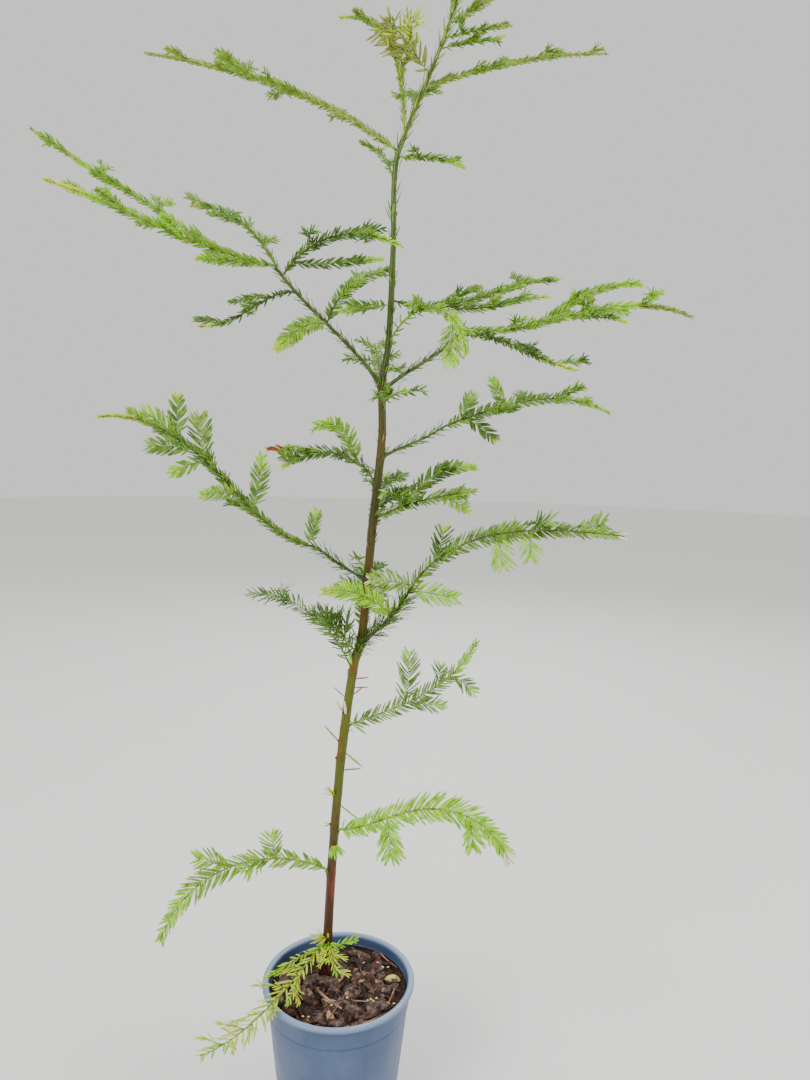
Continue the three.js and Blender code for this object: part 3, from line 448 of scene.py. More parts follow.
# Dry stalks: straw-brown, matt, mottled darker about every 15 mm.
stalk_skin = mottled_finish("dry_stalk", {"Scale": 60, "Detail": 5},
                            ((0.35, "#4c3a2e"), (0.5, "#826650"), (0.66, "#b5977a")),
                            Roughness=0.75, Specular_IOR_Level=0.3)
add_piece("dry_stalks", *tubes(stalk_line, UP, stalk_radii[..., None], STALK_SIDES),
          stalk_skin, "bark_mulch", ["mulch"])


def leaf_blades(roots, tips, width, cup, normal):
    """Thin closed leaves. Along a leaf its half width follows sin(pi u) to the power 0.7 and
    it sags as the square of the way from its middle; across it the blade cups upwards as
    the square of the way from the midrib; each ring goes out over the top and back
    underneath."""
    share = np.linspace(0.04, 0.97, 9)
    across = np.array([-1, -0.5, 0, 0.5, 1, 0.5, 0, -0.5])
    above = np.array([0, 1, 1, 1, 0, -1, -1, -1]) * 0.12
    way = tips - roots
    sag = 0.1 * np.linalg.norm(way, axis=1)[:, None, None]
    side = unit(np.cross(normal, way))
    half = (width * np.sin(np.pi * share) ** 0.7)[:, None]
    middle = roots[:, None] + way[:, None] * share[:, None]
    rings = middle[:, :, None] + side[:, None, None] * (half * across)[..., None]
    rings[..., 2] += cup * half * across ** 2 + above * np.minimum(half, 1)
    rings[..., 2] -= sag * (2 * share[:, None] - 1) ** 2
    corners, faces = closed(rings, middle[:, [0, -1]] - UP * sag)
    return corners, [block[:, ::-1] for block in faces]


leaf_ends = np.array(LEAF_ENDS, float)
leaf_ends[:, 2] += mix_height(leaf_ends)
# A fallen leaf's cuticle: waxy, yellow-green with browned spots of 5 mm.
fallen_skin = mottled_finish("fallen_leaf_cuticle", {"Scale": 180, "Detail": 4},
                             ((0.34, "#8a7038"), (0.46, "#b4ac4c"), (0.62, "#dcd27a")),
                             Roughness=0.45, Specular_IOR_Level=0.45)
add_piece("fallen_leaf", *leaf_blades(leaf_ends[:1], leaf_ends[1:], 3.8, 0.25, (0, -0.6, 0.8)),
          fallen_skin, "bark_mulch", ["mulch"])

seedling_foot = np.array([(x + 1.2 * s, y, 5.2) for x, y in SEEDLINGS for s in (-1, 1)])
seedling_foot[:, 2] += mix_height(seedling_foot)
seedling_tip = seedling_foot + np.tile([(-3.4, 0.8, 0.8), (3.4, -0.8, 0.9)], (len(SEEDLINGS), 1))
# Seed leaves: pale fresh green with a soft waxy sheen, paler in patches of 3 mm.
seedling_skin = mottled_finish("seed_leaf_cuticle", {"Scale": 300, "Detail": 2},
                               ((0.35, "#a2b43c"), (0.65, "#dfe58a")),
                               Roughness=0.5, Specular_IOR_Level=0.4)
add_piece("seedlings", *leaf_blades(seedling_foot, seedling_tip, 1.3, 0.2, UP),
          seedling_skin, "bark_mulch", ["mulch"])


# The stem: one young redwood leader that leans and sways in an S, cut off flat at the
# mulch. Its bark is thin: red-brown at the foot, glossy olive higher up, green at the top,
# with ridges that wind round it, and a swelling and a scar at every shoot.
STEM_FOOT = 152.3
STEM_HEIGHT = 1110
STEM_BACK = 30
STEM_LEAN = 0.045
STEM_SWAY = (
    # height above the foot, sideways place
    (0, -17), (130, -12), (250, -4), (355, 8.5), (385, 16), (500, 25), (600, 33.5), (660, 33),
    (700, 38.5), (800, 41.5), (885, 42), (925, 55), (985, 79), (1050, 102), (1110, 118),
)
STEM_RADII = ((0, 5.2), (330, 5), (600, 4.4), (690, 3.5), (900, 2.6), (1110, 1.1))
ROOT_FLARE = (2.6, 14)
STEM_SIDES = 36
STEM_STEP = 1.6
NODES = (
    # height, bearing of the shoot there, swelling
    (28, 345, 0.5), (34, 286, 0.5), (44, 239, 0.7), (119, 182, 1.0), (168, 328, 1.0),
    (174, 190, 0.5), (210, 190, 0.6), (250, 200, 0.8), (269, 190, 0.5), (285, 30, 1.1),
    (302, 230, 0.5), (347, 148, 0.9), (368, 230, 1.0), (378, 333, 1.2), (388, 92, 0.8),
    (449, 212, 1.1), (500, 84, 0.8), (514, 325, 0.9), (551, 160, 0.9), (581, 27, 1.0),
    (640, 285, 0.7), (648, 96, 0.9), (651, 338, 1.3), (655, 210, 1.3), (702, 310, 0.7),
    (742, 215, 0.6), (747, 30, 0.8), (872, 120, 0.6), (893, 325, 0.7), (898, 162, 0.9),
    (912, 172, 0.9), (940, 88, 0.6), (963, 28, 0.8), (976, 220, 0.6),
)
KNOBS_BELOW = 700
KNOB_RADIUS = 1.9
KNOB_LINE = ((-1.2, 1.1), (0, 1.1), (0.9, 0.95), (1.6, 0.6), (1.9, 0.25))
RIGHT = np.array([1.0, 0.0, 0.0])


def stem_sway(height):
    """The stem's sideways place: a cubic between listed heights, whose slope at each is that
    of the line between its two neighbours."""
    at, sway = np.array(STEM_SWAY, float).T
    order = np.arange(len(at))
    before, after = np.maximum(order - 1, 0), np.minimum(order + 1, len(at) - 1)
    slope = (sway[after] - sway[before]) / (at[after] - at[before])
    i = np.clip(np.searchsorted(at, height) - 1, 0, len(at) - 2)
    span = at[i + 1] - at[i]
    t = (height - at[i]) / span
    return ((2 * t ** 3 - 3 * t ** 2 + 1) * sway[i] + (t ** 3 - 2 * t ** 2 + t) * span * slope[i]
            + (3 * t ** 2 - 2 * t ** 3) * sway[i + 1] + (t ** 3 - t ** 2) * span * slope[i + 1])


def stem_point(height):
    """The middle of the stem at heights above its foot."""
    height = np.asarray(height, float)
    return np.stack([stem_sway(height), STEM_BACK + STEM_LEAN * height, STEM_FOOT + height], -1)


def stem_way(height):
    """The stem's direction: the line from 2 mm below to 2 mm above, ends held to the stem."""
    above, below = np.minimum(height + 2, STEM_HEIGHT), np.maximum(height - 2, 0)
    return unit(stem_point(above) - stem_point(below))


def stem_radius(height):
    """Straight lines between listed radii, plus a root flare that dies away upwards."""
    at, radius = np.array(STEM_RADII, float).T
    return np.interp(height, at, radius) + ROOT_FLARE[0] * np.exp(-height / ROOT_FLARE[1])


def stem_surface():
    """The stem on a grid of heights and angles. Its radius gains five ridges that wind slowly
    round it, fine waves along it, flakes that die away above the foot, and at every node a
    swelling less a scar line, which both fall off as bells up the stem and round it."""
    heights = np.linspace(0, STEM_HEIGHT, int(STEM_HEIGHT / STEM_STEP) + 1)
    turn, height = round_angles(STEM_SIDES), heights[:, None]
    base = stem_radius(height)
    grid = np.broadcast_arrays(base * np.cos(turn), base * np.sin(turn), 0.12 * height)
    grid = np.stack(grid, -1)
    relief = 0.028 * np.cos(5 * turn + height / 34) * np.minimum(height / 200, 1)
    relief += 0.02 * ripple(grid, 3, 12, 21) + 0.05 * ripple(grid, 7, 8, 22) * np.exp(-height / 90)
    for node, bearing, swelling in NODES:
        facing = 0.35 + 0.65 * np.exp((np.cos(turn - math.radians(bearing)) - 1) / 0.35)
        swell = 0.16 * np.exp(-((height - node + 1.5) / 4.2) ** 2)
        scar = 0.03 * np.exp(-((height - node - 3.4) / 1.1) ** 2)
        relief += swelling * facing * (swell - scar)
    forward = stem_way(heights)
    forward[0] = UP
    return tubes(stem_point(heights)[None], RIGHT, (base * (1 + relief))[None], STEM_SIDES,
                 forward[None])


def heading(bearing, rise):
    """The direction of a bearing seen from above, counter-clockwise from +X, and a rise."""
    bearing, rise = np.radians(bearing), np.radians(rise)
    return np.stack(np.broadcast_arrays(
        np.cos(rise) * np.cos(bearing), np.cos(rise) * np.sin(bearing), np.sin(rise)), -1)


# Young redwood bark: smooth and a little waxy. Its colour follows the height: red-brown at
# the foot, olive to the lower whorl, olive-brown to the main whorl, then green. Rusty
# patches 13 mm wide lie on its lower part, and flecks of 1 by 8 mm run along it.
stem_bark = new_finish("young_redwood_bark", Roughness=0.4, Specular_IOR_Level=0.34)
place = add_node(stem_bark, "TexCoord").outputs["Object"]
height_of = add_node(stem_bark, "SeparateXYZ", {"Vector": place}).outputs["Z"]
height_share = add_node(stem_bark, "MapRange", {
    "Value": height_of, "From Min": STEM_FOOT * MM, "From Max": (STEM_FOOT + STEM_HEIGHT) * MM})
age_tone = add_node(stem_bark, "ValToRGB", {"Fac": height_share}, (
    (0.0, "#3a2014"), (0.1, "#4a2812"), (0.14, "#4c3c0c"), (0.2, "#535602"), (0.3, "#585c02"),
    (0.345, "#54520a"), (0.385, "#58380a"), (0.43, "#503f08"), (0.48, "#2f3402"),
    (0.53, "#4c4607"), (0.585, "#403a06"), (0.62, "#3a4602"), (0.7, "#405202"),
    (0.8, "#485d04"), (1.0, "#5e7210")))
rust_place = add_node(stem_bark, "Mapping", {"Vector": place, "Scale": (1, 1, 0.35)})
rust = add_node(stem_bark, "TexNoise",
                {"Vector": rust_place, "Scale": 75, "Detail": 5, "Roughness": 0.6})
rust_reach = add_node(stem_bark, "MapRange", {"Value": rust, "From Min": 0.56, "From Max": 0.66})
old_share = add_node(stem_bark, "MapRange", {"Value": height_share, "From Min": 0.62,
                                             "From Max": 0.5, "To Min": 0.05, "To Max": 0.85})
rust_share = add_node(stem_bark, "Math", {0: rust_reach, 1: old_share}, operation="MULTIPLY")
rusty = add_node(stem_bark, "Mix", {0: rust_share, 6: age_tone, 7: linear("#7a3409")},
                 data_type="RGBA")
fleck_place = add_node(stem_bark, "Mapping", {"Vector": place, "Scale": (1, 1, 0.14)})
fleck = add_node(stem_bark, "TexNoise", {"Vector": fleck_place, "Scale": 900, "Detail": 4})
fleck_tone = add_node(stem_bark, "MapRange", {"Value": fleck, "From Min": 0.3,
                                              "From Max": 0.7, "To Min": 0.62, "To Max": 1.3})
flecked = add_node(stem_bark, "Mix", {0: 1.0, 6: rusty.outputs[2], 7: fleck_tone},
                   data_type="RGBA", blend_type="MULTIPLY")
bark_bump = add_node(stem_bark, "Bump", {"Height": fleck, "Strength": 0.35, "Distance": 0.3 * MM})
shade(stem_bark, Base_Color=flecked.outputs[2], Normal=bark_bump)
add_piece("stem_bark", *stem_surface(), stem_bark, "stem_bark", ["stem"])

# Corky knobs sit on the stem at its lower nodes, where shoots fell, each a short tapering
# tube that points out and a little up. Their scar bark is red-brown in grains of 1.4 mm.
knobs = np.array([node for node in NODES if node[0] < KNOBS_BELOW], float)
knob_reach, knob_shape = np.array(KNOB_LINE).T
knob_out = heading(knobs[:, 1], 0) + 0.3 * UP
knob_reach = stem_radius(knobs[:, :1]) + knob_reach
knob_line = stem_point(knobs[:, 0] - 1)[:, None] + knob_out[:, None] * knob_reach[..., None]
knob_radii = KNOB_RADIUS * knobs[:, 2:] * knob_shape
scar_bark = mottled_finish("scar_bark", {"Scale": 700, "Detail": 4},
                           ((0.34, "#2a0f08"), (0.5, "#4c1c0e"), (0.66, "#74381e")),
                           Roughness=0.6, Specular_IOR_Level=0.4)
add_piece("bark_scars", *tubes(knob_line, UP, knob_radii[..., None], 10),
          scar_bark, "stem_bark", ["stem"])


# The boughs: five woody first branches that leave the stem at its whorls and arch up and
# out. Each is one tapering limb with a collar where it joins the stem, under smooth
# green-brown bark.
PATH_STEPS = 24
ROOT_GAP = 0.3
BOUGH_SIDES = 18
BOUGH_STEPS = 120
COLLAR = (0.9, 5)
BOUGHS = (
    # name, height on the stem, bearing, rise at start, middle and end, length, radii
    ("bough_left", 655, 210, (51, 38, 49), 155, (2.2, 1.6)),
    ("bough_right", 651, 338, (39, 30, 50), 103, (2.1, 1.5)),
    ("bough_mid_right", 581, 27, (25, 22, 33), 79, (1.6, 1.2)),
    ("bough_low_left", 449, 212, (25, 34, 30), 70, (1.5, 1.2)),
    ("bough_low_right", 378, 333, (41, 47, 58), 70, (1.7, 1.3)),
)


def mixed(ends, share):
    """The number at a share of the way between two ends."""
    return ends[0] + (ends[1] - ends[0]) * share


def rise_at(rise, share):
    """The rise at a share of a shoot's length: the parabola through its three rises."""
    start, middle, end = rise
    return (start * (1 - share) * (1 - 2 * share) + middle * 4 * share * (1 - share)
            + end * share * (2 * share - 1))


def grow(start, bearing, rise, length):
    """A shoot's path: equal steps, each turned to the rise at its own middle."""
    middles = (np.arange(PATH_STEPS) + 0.5) / PATH_STEPS
    steps = heading(bearing, rise_at(rise, middles)) * length / PATH_STEPS
    return start + np.concatenate([np.zeros((1, 3)), np.cumsum(steps, 0)])


def along(path, share):
    """Points at shares of a path's length, in straight lines between its points."""
    place = np.clip(np.asarray(share, float), 0, 1) * PATH_STEPS
    step = np.minimum(place.astype(int), PATH_STEPS - 1)
    part = (place - step)[..., None]
    return path[step] * (1 - part) + path[step + 1] * part


def root_on(limb, forward, radius):
    """Where a shoot's end lies a gap clear of a limb's round side, or of its flat tip. The
    limb is its middle, direction, radius and whether this is its tip."""
    centre, way, thick, is_tip = limb
    cosine = abs(way @ forward)
    sine = math.sqrt(1 - cosine ** 2)
    if is_tip:
        return centre + way * (ROOT_GAP + radius * sine)
    return centre + forward * ((thick + ROOT_GAP + radius * cosine) / sine)


# Green-brown bough bark: the stem's bark a year or two younger, smooth with a soft gloss,
# in blotches of 11 mm with flecks of 1.4 mm.
bough_bark = mottled_finish("green_bough_bark", {"Scale": 90, "Detail": 5, "Roughness": 0.6},
                            ((0.32, "#33280f"), (0.47, "#435016"), (0.68, "#64762a")),
                            Roughness=0.45, Specular_IOR_Level=0.45)
place = add_node(bough_bark, "TexCoord").outputs["Object"]
bough_fleck = add_node(bough_bark, "TexNoise", {"Vector": place, "Scale": 700, "Detail": 3})
shade(bough_bark, Normal=add_node(bough_bark, "Bump", {
    "Height": bough_fleck, "Strength": 0.4, "Distance": 0.3 * MM}))

bough_paths = {}
for bough_name, at, bearing, rise, length, radii in BOUGHS:
    root = stem_point(at)
    limb = (root, stem_way(at), stem_radius(at), False)
    path = grow(root_on(limb, heading(bearing, rise[0]), radii[0]), bearing, rise, length)
    bough_paths[bough_name] = (path, bearing, rise, radii)
    # The radius runs straight between its two ends, plus a collar that dies away outwards,
    # times 1 plus waves of 9 and 3 mm.
    shares = np.linspace(0, 1, BOUGH_STEPS + 1)
    line = np.concatenate([[root], along(path, shares)])
    reach = np.concatenate([[0], shares * length])
    thick = mixed(radii, reach / length) + COLLAR[0] * np.exp(-reach / COLLAR[1])
    thick *= 1 + 0.05 * ripple(line, 9, 8, 60) + 0.02 * ripple(line, 3, 8, 61)
    limb_mesh = tubes(line[None], heading(bearing + 90, 0), thick[None, :, None], BOUGH_SIDES)
    add_piece(bough_name + "_bark", *limb_mesh, bough_bark, "bough_bark", [bough_name])


# The shoots: green twigs that carry the needles. A mass of foliage grows from the stem or
# from a bough: its first shoot carries the others, side sprays spring from each on
# alternate sides, and finer twigs of 4 to 20 mm spring from those by the same rule.
MASSES = (
    # name, what carries it, height on the stem or share of the bough, then its shoots: share
    # of the first one, bearing, rises, length, needle, roll and tones at foot and tip, then
    # how many side sprays it has and their length, where it has any
    ("leader_tip", "stem", 1110, (0, 20, (72, 76, 78), 30, 9, 60, "olive tan")),
    ("crown_left", "stem", 1082, (0, 190, (48, 60, 64), 58, 10, 60, "olive tan", 2, 28)),
    ("crown_right", "stem", 1064, (0, 350, (30, 36, 30), 72, 10, 50, "olive tan", 2, 30)),
    ("crown_back", "stem", 1048, (0, 105, (40, 46, 40), 84, 10, 20, "olive tan", 3, 34)),
    ("crown_front", "stem", 1038, (0, 255, (42, 48, 40), 66, 10, 20, "olive yellow", 2, 30)),
    ("top_right_up", "stem", 1026, (0, 45, (34, 37, 28), 100, 10, 60, "olive tan", 3, 34)),
    ("top_right_mid", "stem", 1012, (0, 320, (-4, -8, -14), 80, 9, 60, "mid tan", 2, 32)),
    ("top_right_low", "stem", 1000, (0, 5, (24, 10, 20), 66, 9, 60, "mid yellow", 2, 28)),
    ("top_fan", "stem", 976, (0, 226, (22, 26, -44), 78, 13, 24, "tan tan", 4, 40)),
    ("top_right_long", "stem", 963, (0, 28, (26, 20, 12), 250, 9, 60, "olive tan", 5, 44)),
    ("top_back", "stem", 940, (0, 88, (36, 26, 10), 150, 11, 15, "mid yellow", 4, 50)),
    ("twin_leader", "stem", 912,
     (0, 172, (88, 66, -10), 148, 9, 60, "olive yellow", 4, 36),
     (0.32, 330, (86, 62, 34), 42, 9, 60, "olive yellow")),
    ("short_right", "stem", 893, (0, 325, (-12, -13, -36), 84, 10, 60, "mid bright", 2, 30)),
    ("long_left", "stem", 898,
     (0, 162, (37, 22, 13), 332, 10, 60, "olive tan", 6, 52),
     (0.57, 132, (30, 36, 38), 84, 12, 60, "olive tan", 2, 30)),
    ("short_left", "stem", 872, (0, 120, (50, 38, 18), 72, 10, 30, "mid bright", 2, 30)),
    ("upper_right", "stem", 747,
     (0, 30, (-10, 19, 6), 232, 12, 60, "mid yellow", 5, 54),
     (0.27, 0, (-18, 13, -1), 116, 12, 60, "mid yellow", 2, 36)),
    ("upper_left", "stem", 742, (0, 215, (-8, -13, -17), 60, 12, 36, "mid bright", 1, 28)),
    ("upper_front", "stem", 702,
     (0, 310, (46, -9, -84), 146, 12, 40, "fresh bright", 2, 36),
     (0.72, 262, (-60, -74, -84), 46, 17, 0, "fresh bright")),
    ("whorl_back", "stem", 648, (0, 96, (36, 22, 2), 180, 12, 10, "mid bright", 5, 58)),
    ("whorl_front", "stem", 640, (0, 285, (8, 4, -4), 96, 12, 20, "mid bright", 2, 40)),
    ("left_back", "bough_left", 0.52, (0, 62, (62, 26, 22), 150, 12, 40, "mid bright", 3, 46)),
    ("left_face", "bough_left", 0.5, (0, 236, (8, -28, -36), 82, 17, -60, "fresh yellow")),
    ("left_droop", "bough_left", 0.8, (0, 238, (-6, -29, -3), 136, 14, 40, "deep yellow", 3, 48)),
    ("left_inner", "bough_left", 0.93,
     (0, 318, (40, 0, -25), 164, 12, -62, "deep bright", 3, 44),
     (0.1, 10, (-4, 8, 4), 88, 11, -72, "deep bright", 1, 34)),
    ("left_crest", "bough_left", 0.96, (0, 146, (56, 32, 3), 150, 13, 60, "mid yellow", 4, 46)),
    ("left_long", "bough_left", 1,
     (0, 202, (4, 18, 12), 210, 12, 60, "fresh yellow", 5, 52),
     (0.3, 166, (36, 30, 34), 226, 11, 50, "fresh tan", 4, 44),
     (0.06, 224, (-4, -6, -4), 70, 12, 60, "fresh yellow", 1, 30)),
    ("right_long", "bough_right", 1,
     (0, 334, (-14, 11, -28), 222, 12, 60, "fresh tan", 5, 50),
     (0.34, 15, (32, 25, -6), 124, 11, 60, "fresh yellow", 3, 36),
     (0.48, 300, (-10, -5, -30), 78, 12, 40, "mid yellow", 1, 30)),
    ("right_droop", "bough_right", 0.9,
     (0, 305, (4, -20, -12), 170, 12, 40, "deep yellow", 4, 50)),
    ("mid_right", "bough_mid_right", 1,
     (0, 25, (20, 9, -24), 234, 12, 60, "mid bright", 4, 50),
     (0.08, 350, (52, 66, 70), 34, 14, 80, "mid bright"),
     (0.12, 330, (-20, -34, -40), 46, 14, 40, "deep yellow"),
     (0.36, 160, (40, 60, 70), 36, 13, 70, "fresh bright")),
    ("mid_left", "stem", 551,
     (0, 160, (55, 2, -33), 122, 14, 50, "deep yellow", 2, 40),
     (0.22, 225, (76, 33, -46), 82, 14, 40, "fresh bright", 1, 36),
     (0.55, 178, (8, 2, -4), 62, 11, 50, "fresh rust")),
    ("mid_front", "stem", 514,
     (0, 325, (28, 15, 7), 130, 13, 50, "mid cream", 2, 40),
     (0.32, 20, (62, 27, -6), 92, 14, 60, "deep bright", 1, 34),
     (0.66, 302, (-6, -14, -22), 50, 12, 40, "fresh cream"),
     (0.3, 236, (50, 20, -30), 46, 14, 30, "deep bright")),
    ("mid_back", "stem", 500, (0, 84, (34, 24, 4), 150, 13, 10, "deep bright", 4, 54)),
    ("low_left", "bough_low_left", 1,
     (0, 210, (13, 46, -10), 252, 11, 60, "mid yellow", 3, 44),
     (0.03, 20, (66, 76, 80), 38, 12, 80, "mid yellow"),
     (0.31, 30, (70, 80, 84), 54, 14, 80, "mid bright"),
     (0.4, 240, (6, 2, -6), 48, 13, 70, "fresh bright"),
     (0.57, 190, (72, 84, 88), 44, 18, 90, "mid fresh"),
     (0.58, 205, (-16, -22, -28), 34, 12, 80, "fresh bright"),
     (0.64, 215, (10, 4, -4), 42, 15, 70, "mid fresh"),
     (0.68, 200, (42, 38, 34), 46, 15, 80, "fresh bright"),
     (0.71, 100, (72, 84, 88), 40, 13, 10, "mid yellow")),
    ("low_right", "bough_low_right", 1,
     (0, 331, (64, 15, -2), 254, 13, 68, "mid cream", 4, 44),
     (0.06, 218, (14, 12, 6), 58, 16, 78, "fresh cream"),
     (0.03, 330, (4, -2, -6), 56, 16, 88, "bright cream"),
     (0.2, 10, (60, 76, 80), 38, 14, 88, "deep yellow"),
     (0.5, 300, (-40, -70, -80), 34, 16, 48, "bright cream"),
     (0.63, 280, (-30, -62, -76), 30, 14, 23, "bright cream")),
    ("low_frond", "bough_low_right", 0.62, (0, 222, (38, 23, -3), 97, 15, 60, "bright yellow")),
    ("node_tuft", "stem", 368, (0, 230, (40, 50, 45), 66, 17, 50, "deep mid", 2, 38)),
    ("node_back", "stem", 388, (0, 92, (40, 26, 0), 140, 14, 10, "deep bright", 4, 52)),
    ("base_left", "stem", 347,
     (0, 148, (58, 23, -10), 162, 11, -52, "deep mid", 3, 44),
     (0.62, 190, (24, 12, 6), 52, 11, -72, "deep mid")),
    ("base_right", "stem", 285,
     (0, 30, (12, 19, 60), 190, 12, 60, "mid bright"),
     (0.36, 20, (72, 86, 88), 62, 18, 90, "mid bright"),
     (0.38, 350, (4, 2, 6), 46, 11, 60, "mid bright"),
     (0.62, 330, (70, 84, 86), 26, 13, 90, "mid bright"),
     (0.72, 345, (-10, -30, -44), 36, 11, 60, "mid bright")),
    ("foot_right", "stem", 168,
     (0, 328, (16, 22, -62), 230, 21, 60, "bright cream"),
     (0.3, 290, (-36, -62, -74), 40, 20, 20, "bright bright"),
     (0.76, 280, (-30, -56, -70), 30, 15, 10, "bright yellow")),
    ("foot_left", "stem", 119,
     (0, 182, (26, -26, -74), 234, 17, -78, "fresh bright"),
     (0.24, 230, (62, 74, 80), 34, 14, 52, "fresh bright"),
     (0.3, 240, (10, 0, -10), 32, 15, -58, "fresh bright"),
     (0.46, 196, (30, 20, 10), 42, 15, -68, "fresh bright")),
    ("basal_long", "stem", 44,
     (0, 239, (-18, -5, 22), 195, 27, 0, "yellow bright"),
     (0.06, 216, (2, -10, -12), 66, 10, -58, "bright yellow"),
     (0.2, 258, (-4, -8, -10), 52, 10, -28, "yellow bright")),
    ("basal_front", "stem", 34, (0, 286, (30, -14, -34), 46, 9, 0, "yellow bright")),
    ("basal_right", "stem", 28, (0, 345, (30, 30, 28), 34, 9, 50, "bright bright")),
)
SPRAY_REACH = (0.16, 0.9)
SPRAY_LENGTHS = (0.7, 1.2)
SPRAY_SHORTENING = 0.5
SPRAY_SWING = (39, 61)
SPRAY_FOLLOW = 0.6
SPRAY_LIFT = (-5, 29)
SPRAY_SAG = 16
SPRAY_ROLL = (-25, 25)
FINER_SHARE = 0.42
FINER_EVERY = 17
FINER_SPACING = 60
# Three masses carry more twigs than the rule gives: how many, how long, and the share of
# their needles' length.
MORE_TWIGS = {"basal_long": (9, 44, 0.37), "basal_front": (4, 30, 0.9), "node_tuft": (6, 64, 1)}
# A side twig's closed end lies this far behind its start, inside the twig that carries it.
TWIG_ROOT = 0.3
TWIG_SIDES = 6
TWIG_TAPER = 0.55
# A twig's radius: a least one, and the millimetres of length that each one more takes. The
# solids' twigs are a little thicker, and a mass starts where theirs do.
TWIG_RADIUS = (0.5, 300)
SOLID_TWIG_RADIUS = (0.55, 280)
WOODY_LENGTH = 110

# A shoot: its root inside the limb, its path from the limb's skin, and its needles' length,
# plane and tones. Its order is 0 for a mass's own shoot and counts up with each branching.
Shoot = namedtuple("Shoot", "root path bearing rise length needle roll tones mass order")


def numbers_from(seed):
    """Repeatable numbers from 0 to 1: each state is the last times 48271, modulo the prime
    2147483647."""
    state = seed
    while True:
        state = state * 48271 % 2147483647
        yield state / 2147483647


def set_in(path, bearing, rise):
    """Where a side twig's closed end lies: its start less TWIG_ROOT along its heading."""
    return path[0] - TWIG_ROOT * heading(bearing, rise[0])


def side_sprays(shoot, count, size, seed):
    """The side sprays of a shoot, on alternate sides, evenly spread with a seeded shift.
    Their length shrinks towards the shoot's tip, they swing out from it, and they lift
    and then sag."""
    number = numbers_from(seed)
    side = -1 if next(number) < 0.5 else 1
    sprays = []
    for i in range(count):
        at = mixed(SPRAY_REACH, (i + 0.25 + 0.5 * next(number)) / count)
        length = size * (1 - SPRAY_SHORTENING * at) * mixed(SPRAY_LENGTHS, next(number))
        bearing = shoot.bearing + side * mixed(SPRAY_SWING, next(number))
        rise = SPRAY_FOLLOW * rise_at(shoot.rise, at) + mixed(SPRAY_LIFT, next(number))
        rise = (rise, rise - SPRAY_SAG / 2, rise - SPRAY_SAG)
        path = grow(along(shoot.path, at), bearing, rise, length)
        sprays.append(shoot._replace(
            root=set_in(path, bearing, rise), path=path, bearing=bearing, rise=rise,
            length=length, roll=shoot.roll + mixed(SPRAY_ROLL, next(number)),
            order=shoot.order + 1))
        side = -side
    return sprays


shoots = []
for index, (mass, carrier, at, *rows) in enumerate(MASSES):
    if carrier == "stem":
        limb = (stem_point(at), stem_way(at), stem_radius(at), at == STEM_HEIGHT)
    else:
        path, bearing, rise, radii = bough_paths[carrier]
        limb = (along(path, at), heading(bearing, rise_at(rise, at)), mixed(radii, at), at == 1)
    for i, (share, bearing, rise, length, needle, roll, tones, *side) in enumerate(rows):
        if i == 0:
            root = limb[0]
            radius = SOLID_TWIG_RADIUS[0] + length / SOLID_TWIG_RADIUS[1]
            start = root_on(limb, heading(bearing, rise[0]), radius)
            first_path = path = grow(start, bearing, rise, length)
        else:
            path = grow(along(first_path, share), bearing, rise, length)
            root = set_in(path, bearing, rise)
        shoot = Shoot(root, path, bearing, rise, length, needle, roll, tones.split(), mass, 0)
        shoots.append(shoot)
        count, size = side or (0, 0)
        sprays = side_sprays(shoot, count, size, 100 * index + i + 1)
        more = (int(length / FINER_SPACING) if count else 0, size * FINER_SHARE, 1)
        if i == 0:
            more = MORE_TWIGS.get(mass, more)
        finer = side_sprays(shoot._replace(needle=needle * more[2]), *more[:2],
                            50000 + 100 * index + i)
        for spray in sprays:
            finer += side_sprays(spray, int(spray.length / FINER_EVERY),
                                 spray.length * FINER_SHARE, 90000 + len(shoots) + len(finer))
        shoots += sprays + finer


def is_woody(shoot):
    """Whether a shoot is an old main one, with dark needles."""
    old = shoot.order == 0 and shoot.length > WOODY_LENGTH and shoot.tones[0] in ("deep", "mid")
    return old and not shoot.mass.startswith("base_")


for skin_name, woody, tones in (
    ("woody", True, ("#33300f", "#4a5016", "#68772a")),
    ("green", False, ("#4f6c14", "#74921f", "#9db83a")),
):
    # Green twig bark: thin and soft, clothed in the bases of the needles, so its colour is
    # theirs a little darker and browner, in blotches of 6 mm.
    twig_skin = mottled_finish("twig_bark_" + skin_name, {"Scale": 160, "Detail": 4},
                               zip((0.35, 0.5, 0.66), tones), Roughness=0.5, Specular_IOR_Level=0.4)
    # A twig's radius grows with its length and tapers by just over half to its tip.
    chosen = [shoot for shoot in shoots if is_woody(shoot) == woody]
    lines = np.array([[shoot.root, *shoot.path] for shoot in chosen])
    levels = np.array([heading(shoot.bearing + 90, 0) for shoot in chosen])[:, None]
    lengths = np.array([shoot.length for shoot in chosen])[:, None]
    taper = 1 - TWIG_TAPER * np.concatenate([[0], np.linspace(0, 1, PATH_STEPS + 1)])
    radii = ((TWIG_RADIUS[0] + lengths / TWIG_RADIUS[1]) * taper)[..., None]
    add_piece("twigs_" + skin_name, *tubes(lines, levels, radii, TWIG_SIDES), twig_skin,
              "needles", sorted({"foliage_" + shoot.mass for shoot in chosen}))


